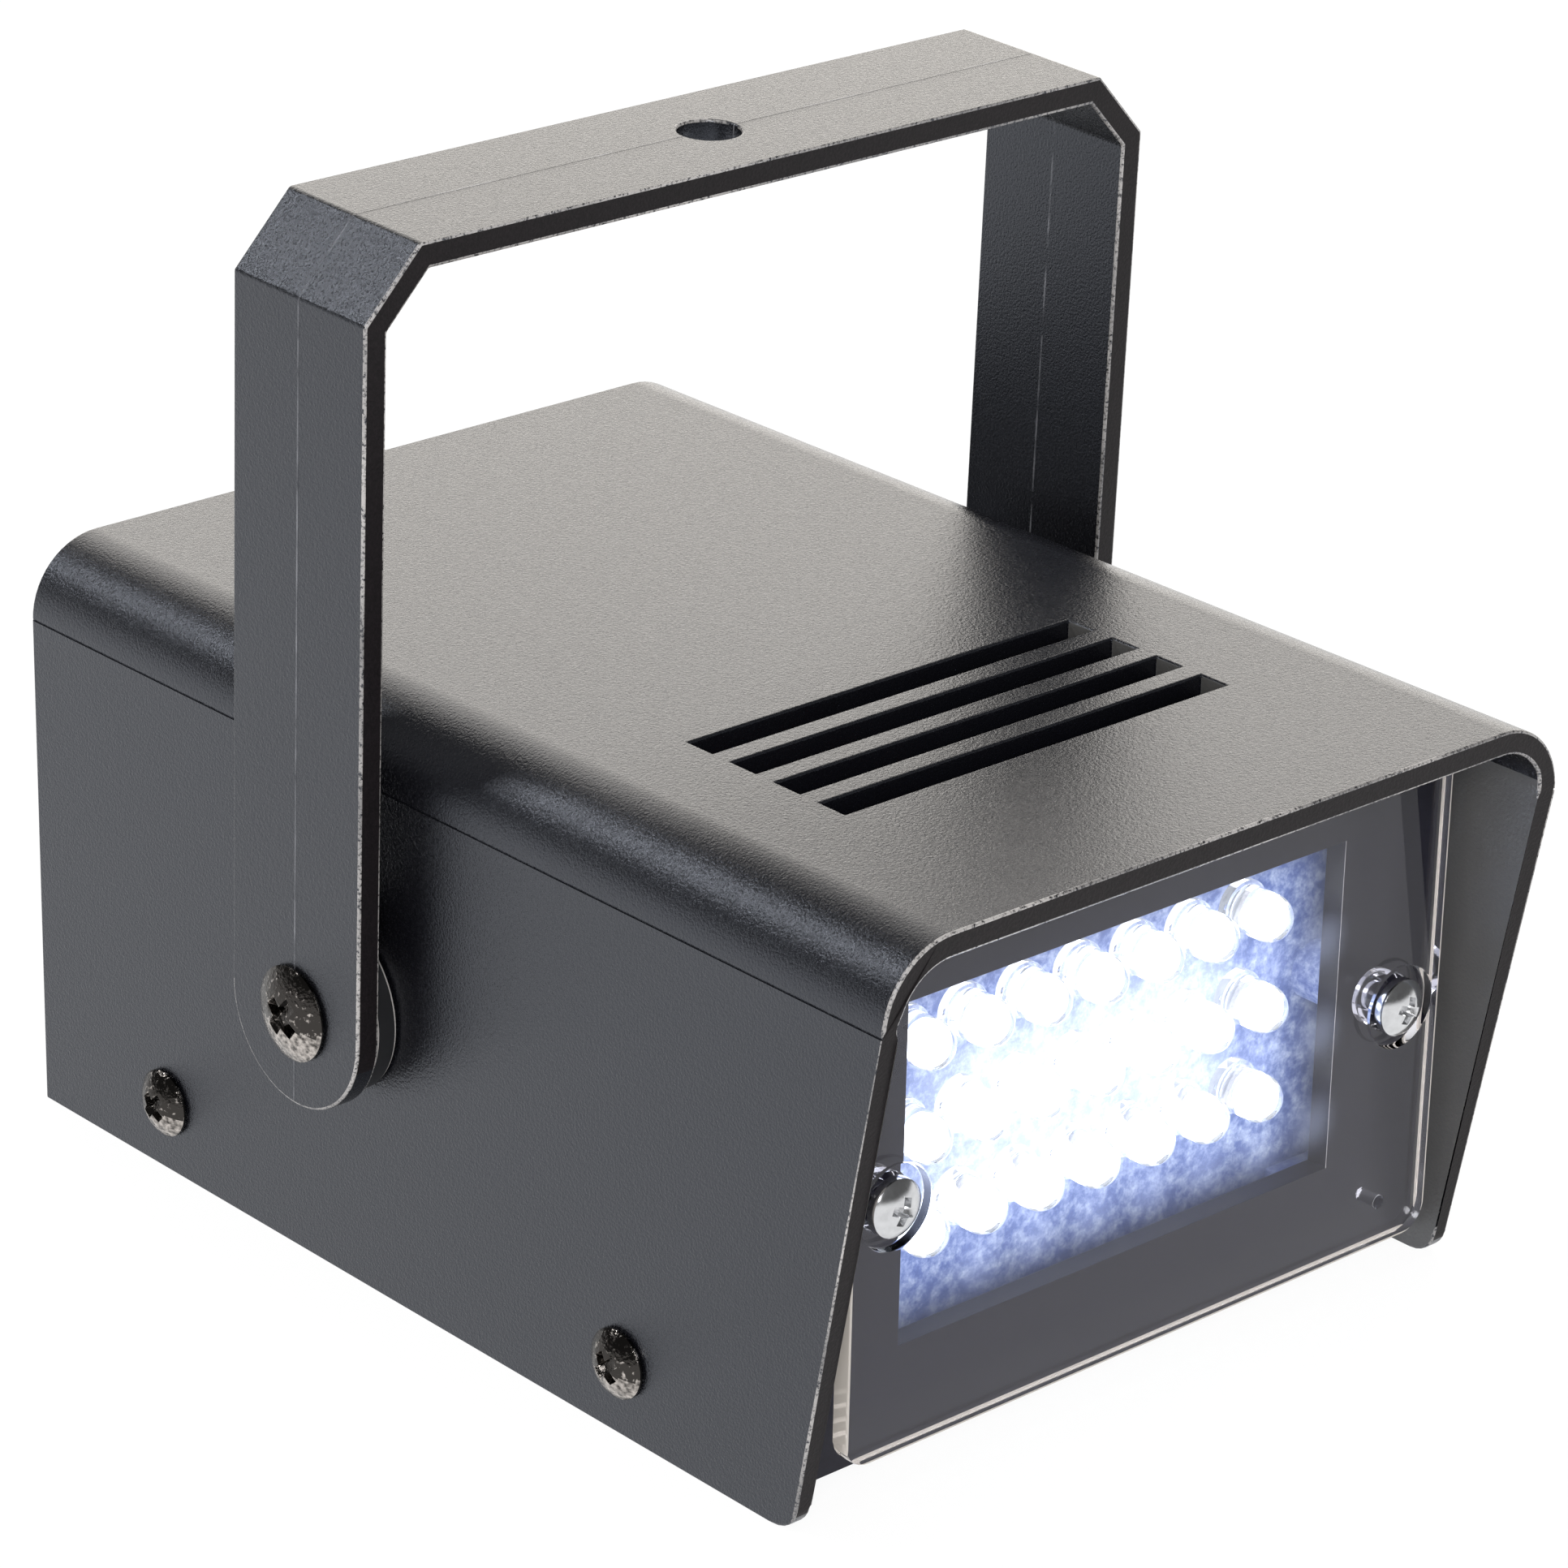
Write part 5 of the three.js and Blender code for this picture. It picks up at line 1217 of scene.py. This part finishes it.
class STROBE_OT_leds(bpy.types.Operator):
    """Model one LED by turning its outline, and copy it to every place"""
    bl_idname = "strobe.leds"
    bl_label = "LEDs"

    def execute(self, context):
        sizes = context.scene.strobe_front
        low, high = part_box("led_row1_col1")
        flange_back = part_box("led_board")[0].y - sizes.led_gap
        radius, flange = sizes.led_radius, sizes.led_flange_radius
        reach = flange_back - low.y
        profile = [(0, 0), (flange, 0), (flange, -sizes.led_flange), (radius, -sizes.led_flange)]
        profile += arc((0, -reach + radius), radius, 0, -90, DOME_STEPS)
        led = lathe("led_pattern", profile, sizes.led_steps)
        lead = sizes.led_lead / 2
        for side in (-1, 1):
            x = side * sizes.led_lead_spacing / 2
            combine(led, block("lead", (x - lead, -LEAD_OVERLAP, -lead),
                               (x + lead, high.y - flange_back, lead)), "UNION")
        self.add_core(led, reach, sizes)
        smooth(led, ROUND_LIMIT)
        for row in range(1, LED_ROWS + 1):
            for column in range(1, LED_COLUMNS + 1):
                node = f"led_row{row}_col{column}"
                node_low, node_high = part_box(node)
                centre = (node_low + node_high) / 2
                piece = copy_at(led, f"led_{row}_{column}", (centre.x, flange_back, centre.z))
                hand_over(piece, "led_epoxy", [node])
        bpy.data.objects.remove(led)
        return {"FINISHED"}

    def add_core(self, led, reach, sizes):
        """Put the lit potting inside the epoxy, in its own finish."""
        core = sizes.led_core
        depth = -reach + sizes.led_radius * CORE_SETBACK
        profile = [(0, depth + core), (core * CORE_BACK, depth + core)]
        profile += arc((0, depth), core, 0, -90, CORE_STEPS)
        inner = lathe("core", profile, sizes.led_steps)
        led.data.materials.append(material_for("led_epoxy"))
        led.data.materials.append(material_for("led_epoxy_core"))
        inner.data.materials.append(material_for("led_epoxy_core"))
        activate(led)
        inner.select_set(True)
        bpy.ops.object.join()


class STROBE_OT_screws(bpy.types.Operator):
    """Model the cross-recess screws and place them on their seats"""
    bl_idname = "strobe.screws"
    bl_label = "Screws"

    def execute(self, context):
        sizes = context.scene.strobe_screws
        for side, turn in (("left", -90), ("right", 90)):
            self.place_side_screw(f"pivot_screw_{side}", sizes.pivot_head, sizes.pivot_height,
                                  sizes.pivot_shank, turn, sizes.pivot_spin)
            for end, spin in (("rear", sizes.rear_spin), ("front", sizes.front_spin)):
                self.place_side_screw(f"cover_screw_{side}_{end}", sizes.side_head,
                                      sizes.side_height, sizes.small_shank, turn, spin)
            node = f"lens_screw_{side}"
            low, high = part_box(node)
            screw = self.screw(sizes, sizes.lens_head, sizes.lens_height, high.y - low.y,
                               sizes.small_shank, sizes.lens_rim_share)
            centre = (low + high) / 2
            piece = copy_at(screw, node + "_head", (centre.x, low.y + sizes.lens_height, centre.z),
                            spin=sizes.lens_spin)
            hand_over(piece, "chromed_screw", [node])
            bpy.data.objects.remove(screw)
        return {"FINISHED"}

    def place_side_screw(self, node, head, height, shank, turn, spin):
        """Put one black screw through a side, its head outwards."""
        low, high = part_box(node)
        sizes = bpy.context.scene.strobe_screws
        screw = self.screw(sizes, head, height, high.x - low.x, shank, sizes.rim_share)
        centre = (low + high) / 2
        seat = low.x + height if turn < 0 else high.x - height
        piece = copy_at(screw, node + "_turned", (seat, centre.y, centre.z),
                        turn=math.radians(turn), spin=spin)
        hand_over(piece, "black_screw", [node])
        # Painted highlight: the heads' lower side in a brighter copy of the plating
        piece.data.materials.append(material_for("black_screw_highlight"))
        for face in piece.data.polygons:
            if face.normal.z < HIGHLIGHT_BELOW and abs(face.normal.x) > FLAT:
                face.material_index = 1
        bpy.data.objects.remove(screw)

    def screw(self, sizes, head, height, reach, shank, rim_share):
        """A screw whose head points to the front, its seat at the origin."""
        rim = height * rim_share
        crown = height - rim
        ball = (head ** 2 + crown ** 2) / (2 * crown)
        across = [head * i / sizes.crown_steps for i in range(1, sizes.crown_steps + 1)]
        dome = [(x, ball - height - math.sqrt(ball ** 2 - x ** 2)) for x in across]
        tip = reach - height
        profile = [(0, -height)] + dome + [(head, 0), (shank, 0),
                                           (shank, tip - shank * sizes.tip_share), (0, tip)]
        made = lathe("screw_pattern", profile)
        arm, half = sizes.arm_share * head, sizes.slot_share * head
        deep = sizes.depth_share * height
        for spin in (0, math.pi / 2):
            bar = block("cross", (-arm, -height - OVERRUN, -half), (arm, -height + deep, half))
            pick(bar, "FACE", lambda f: f.normal.y > STRAIGHT)
            bpy.ops.transform.resize(value=CROSS_TAPER, center_override=(0, -height + deep, 0))
            clear_selection()
            combine(made, copy_at(bar, "cross_turned", (0, 0, 0), spin=spin))
            bpy.data.objects.remove(bar)
        soften(made, sizes.head_edge, limit=ROUND_LIMIT)
        smooth(made, ROUND_LIMIT)
        return made


class STROBE_OT_spacers(bpy.types.Operator):
    """Model the round spacers between the bracket and the cover"""
    bl_idname = "strobe.spacers"
    bl_label = "Spacers"

    def execute(self, context):
        sizes = context.scene.strobe_screws
        for side in ("left", "right"):
            node = f"pivot_spacer_{side}"
            low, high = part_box(node)
            radius, thick = (high.z - low.z) / 2, high.x - low.x
            bore = sizes.spacer_bore
            profile = [(bore, thick), (bore, 0), (radius, 0), (radius, thick), (bore, thick)]
            ring = lathe("spacer_pattern", profile, SPACER_STEPS)
            soften(ring, sizes.spacer_edge, highlighted="black_nylon")
            centre = (low + high) / 2
            piece = copy_at(ring, node + "_disc", (low.x, centre.y, centre.z),
                            turn=math.radians(-90))
            bpy.data.objects.remove(ring)
            smooth(piece, ROUND_LIMIT)
            hand_over(piece, "black_nylon", [node])
        return {"FINISHED"}


class STROBE_OT_stage(bpy.types.Operator):
    """Set the pale floor, the white surroundings, the soft lights and the camera"""
    bl_idname = "strobe.stage"
    bl_label = "Stage"

    def execute(self, context):
        scene = context.scene
        stage = scene.strobe_stage
        self.floor(scene.strobe_colours)
        self.world(scene, stage)
        self.camera(scene, stage)
        for name, settings in LAMPS.items():
            self.lamp(name, *settings)
        scene.view_settings.view_transform = "Standard"
        return {"FINISHED"}

    def floor(self, colours):
        """A wide pale floor that looks white to the eye and keeps the object's shadow."""
        clear_selection()
        bpy.ops.mesh.primitive_plane_add(size=FLOOR_WIDTH)
        floor = settle(bpy.context.active_object, "studio_floor")
        material, tree = new_material("Paper_matt_white")
        seen = self.seen_directly(tree)
        glossy = add_node(tree, "ShaderNodeLightPath", out="Is Glossy Ray")
        either = add_node(tree, "ShaderNodeMath", {0: seen, 1: glossy}, out="Value",
                          operation="MAXIMUM")
        matt = add_node(tree, "ShaderNodeBsdfDiffuse", {"Color": rgba(colours.floor)}, out="BSDF")
        white = add_node(tree, "ShaderNodeEmission", {"Color": (1, 1, 1, 1),
                                                      "Strength": FLOOR_WHITE}, out="Emission")
        mostly = add_node(tree, "ShaderNodeMixShader", {0: FLOOR_SHARE, 1: matt, 2: white},
                          out="Shader")
        both = add_node(tree, "ShaderNodeMixShader", {0: either, 1: matt, 2: mostly},
                        out="Shader")
        add_node(tree, "ShaderNodeOutputMaterial", {"Surface": both})
        floor.data.materials.append(material)

    def seen_directly(self, tree):
        """1 for what the camera sees, also through glass, else 0."""
        path = add_node(tree, "ShaderNodeLightPath")
        return add_node(tree, "ShaderNodeMath", {0: path.outputs["Is Camera Ray"],
                                                 1: path.outputs["Is Transmission Ray"]},
                        out="Value", operation="MAXIMUM")

    def world(self, scene, stage):
        """White to the eye and through glass; in gloss, a white horizon under a grey ceiling."""
        world = bpy.data.worlds.new("studio")
        world.use_nodes = True
        tree = world.node_tree
        tree.nodes.clear()
        towards = add_node(tree, "ShaderNodeTexCoord", out="Generated")
        rise = add_node(tree, "ShaderNodeSeparateXYZ", {"Vector": towards}, out="Z")
        fade = add_node(tree, "ShaderNodeMapRange",
                        {"Value": rise, "From Min": stage.horizon, "From Max": stage.ceiling,
                         "To Min": 1, "To Max": stage.ceiling_light}, out="Result",
                        interpolation_type="SMOOTHSTEP")
        soft, gloss, white = [
            add_node(tree, "ShaderNodeBackground", {"Color": (1, 1, 1, 1), "Strength": strength},
                     out="Background") for strength in (stage.world_light, fade, 1)]
        glossy = add_node(tree, "ShaderNodeLightPath", out="Is Glossy Ray")
        mirrored = add_node(tree, "ShaderNodeMixShader", {0: glossy, 1: soft, 2: gloss},
                            out="Shader")
        both = add_node(tree, "ShaderNodeMixShader", {0: self.seen_directly(tree), 1: mirrored,
                                                      2: white}, out="Shader")
        add_node(tree, "ShaderNodeOutputWorld", {"Surface": both})
        scene.world = world

    def camera(self, scene, stage):
        """Stand the camera where the photograph was taken from."""
        data = bpy.data.cameras.new("photo_camera")
        data.lens = stage.lens
        data.sensor_width = SENSOR
        data.clip_start = NEAREST
        camera = bpy.data.objects.new("photo_camera", data)
        scene.collection.objects.link(camera)
        turn = (Matrix.Rotation(stage.azimuth, 4, "Z")
                @ Matrix.Rotation(math.pi / 2 - stage.elevation, 4, "X")
                @ Matrix.Rotation(stage.roll, 4, "Z"))
        camera.matrix_world = Matrix.Translation(Vector(stage.camera_place)) @ turn
        scene.camera = camera

    def lamp(self, name, place, size, power, tint):
        """A square soft box that looks at the object."""
        data = bpy.data.lights.new(name, "AREA")
        data.size = size
        data.energy = power
        data.color = tint
        lamp = bpy.data.objects.new(name, data)
        bpy.context.scene.collection.objects.link(lamp)
        away = Vector(place) - LAMP_AIM
        lamp.matrix_world = (Matrix.Translation(place)
                             @ away.to_track_quat("Z", "Y").to_matrix().to_4x4())


STEPS = [STROBE_OT_stage, STROBE_OT_nodes, STROBE_OT_cover, STROBE_OT_chassis, STROBE_OT_bracket,
         STROBE_OT_lens, STROBE_OT_leds, STROBE_OT_screws, STROBE_OT_spacers]
GROUPS = {"strobe_shells": StrobeShells, "strobe_front": StrobeFront,
          "strobe_screws": StrobeScrews, "strobe_colours": StrobeColours,
          "strobe_stage": StrobeStage}


class STROBE_PT_panel(bpy.types.Panel):
    """Sizes, colours and steps of the strobe light"""
    bl_idname = "STROBE_PT_panel"
    bl_label = "LED Strobe Light"
    bl_space_type = "VIEW_3D"
    bl_region_type = "UI"
    bl_category = "Strobe"

    def draw(self, context):
        for name in GROUPS:
            box = self.layout.box()
            group = getattr(context.scene, name)
            for key in group.__annotations__:
                box.prop(group, key)
        for step in STEPS:
            self.layout.operator(step.bl_idname)


def register():
    """Register the property groups, operators and panel."""
    for name, group in GROUPS.items():
        bpy.utils.register_class(group)
        setattr(bpy.types.Scene, name, PointerProperty(type=group))
    for step in STEPS:
        bpy.utils.register_class(step)
    bpy.utils.register_class(STROBE_PT_panel)


def unregister():
    """Undo register."""
    bpy.utils.unregister_class(STROBE_PT_panel)
    for step in reversed(STEPS):
        bpy.utils.unregister_class(step)
    for name, group in GROUPS.items():
        delattr(bpy.types.Scene, name)
        bpy.utils.unregister_class(group)


def main():
    """Model and finish the whole object."""
    register()
    for step in STEPS:
        family, name = step.bl_idname.split(".")
        getattr(getattr(bpy.ops, family), name)()
    clear_selection()


if __name__ == "__main__":
    main()
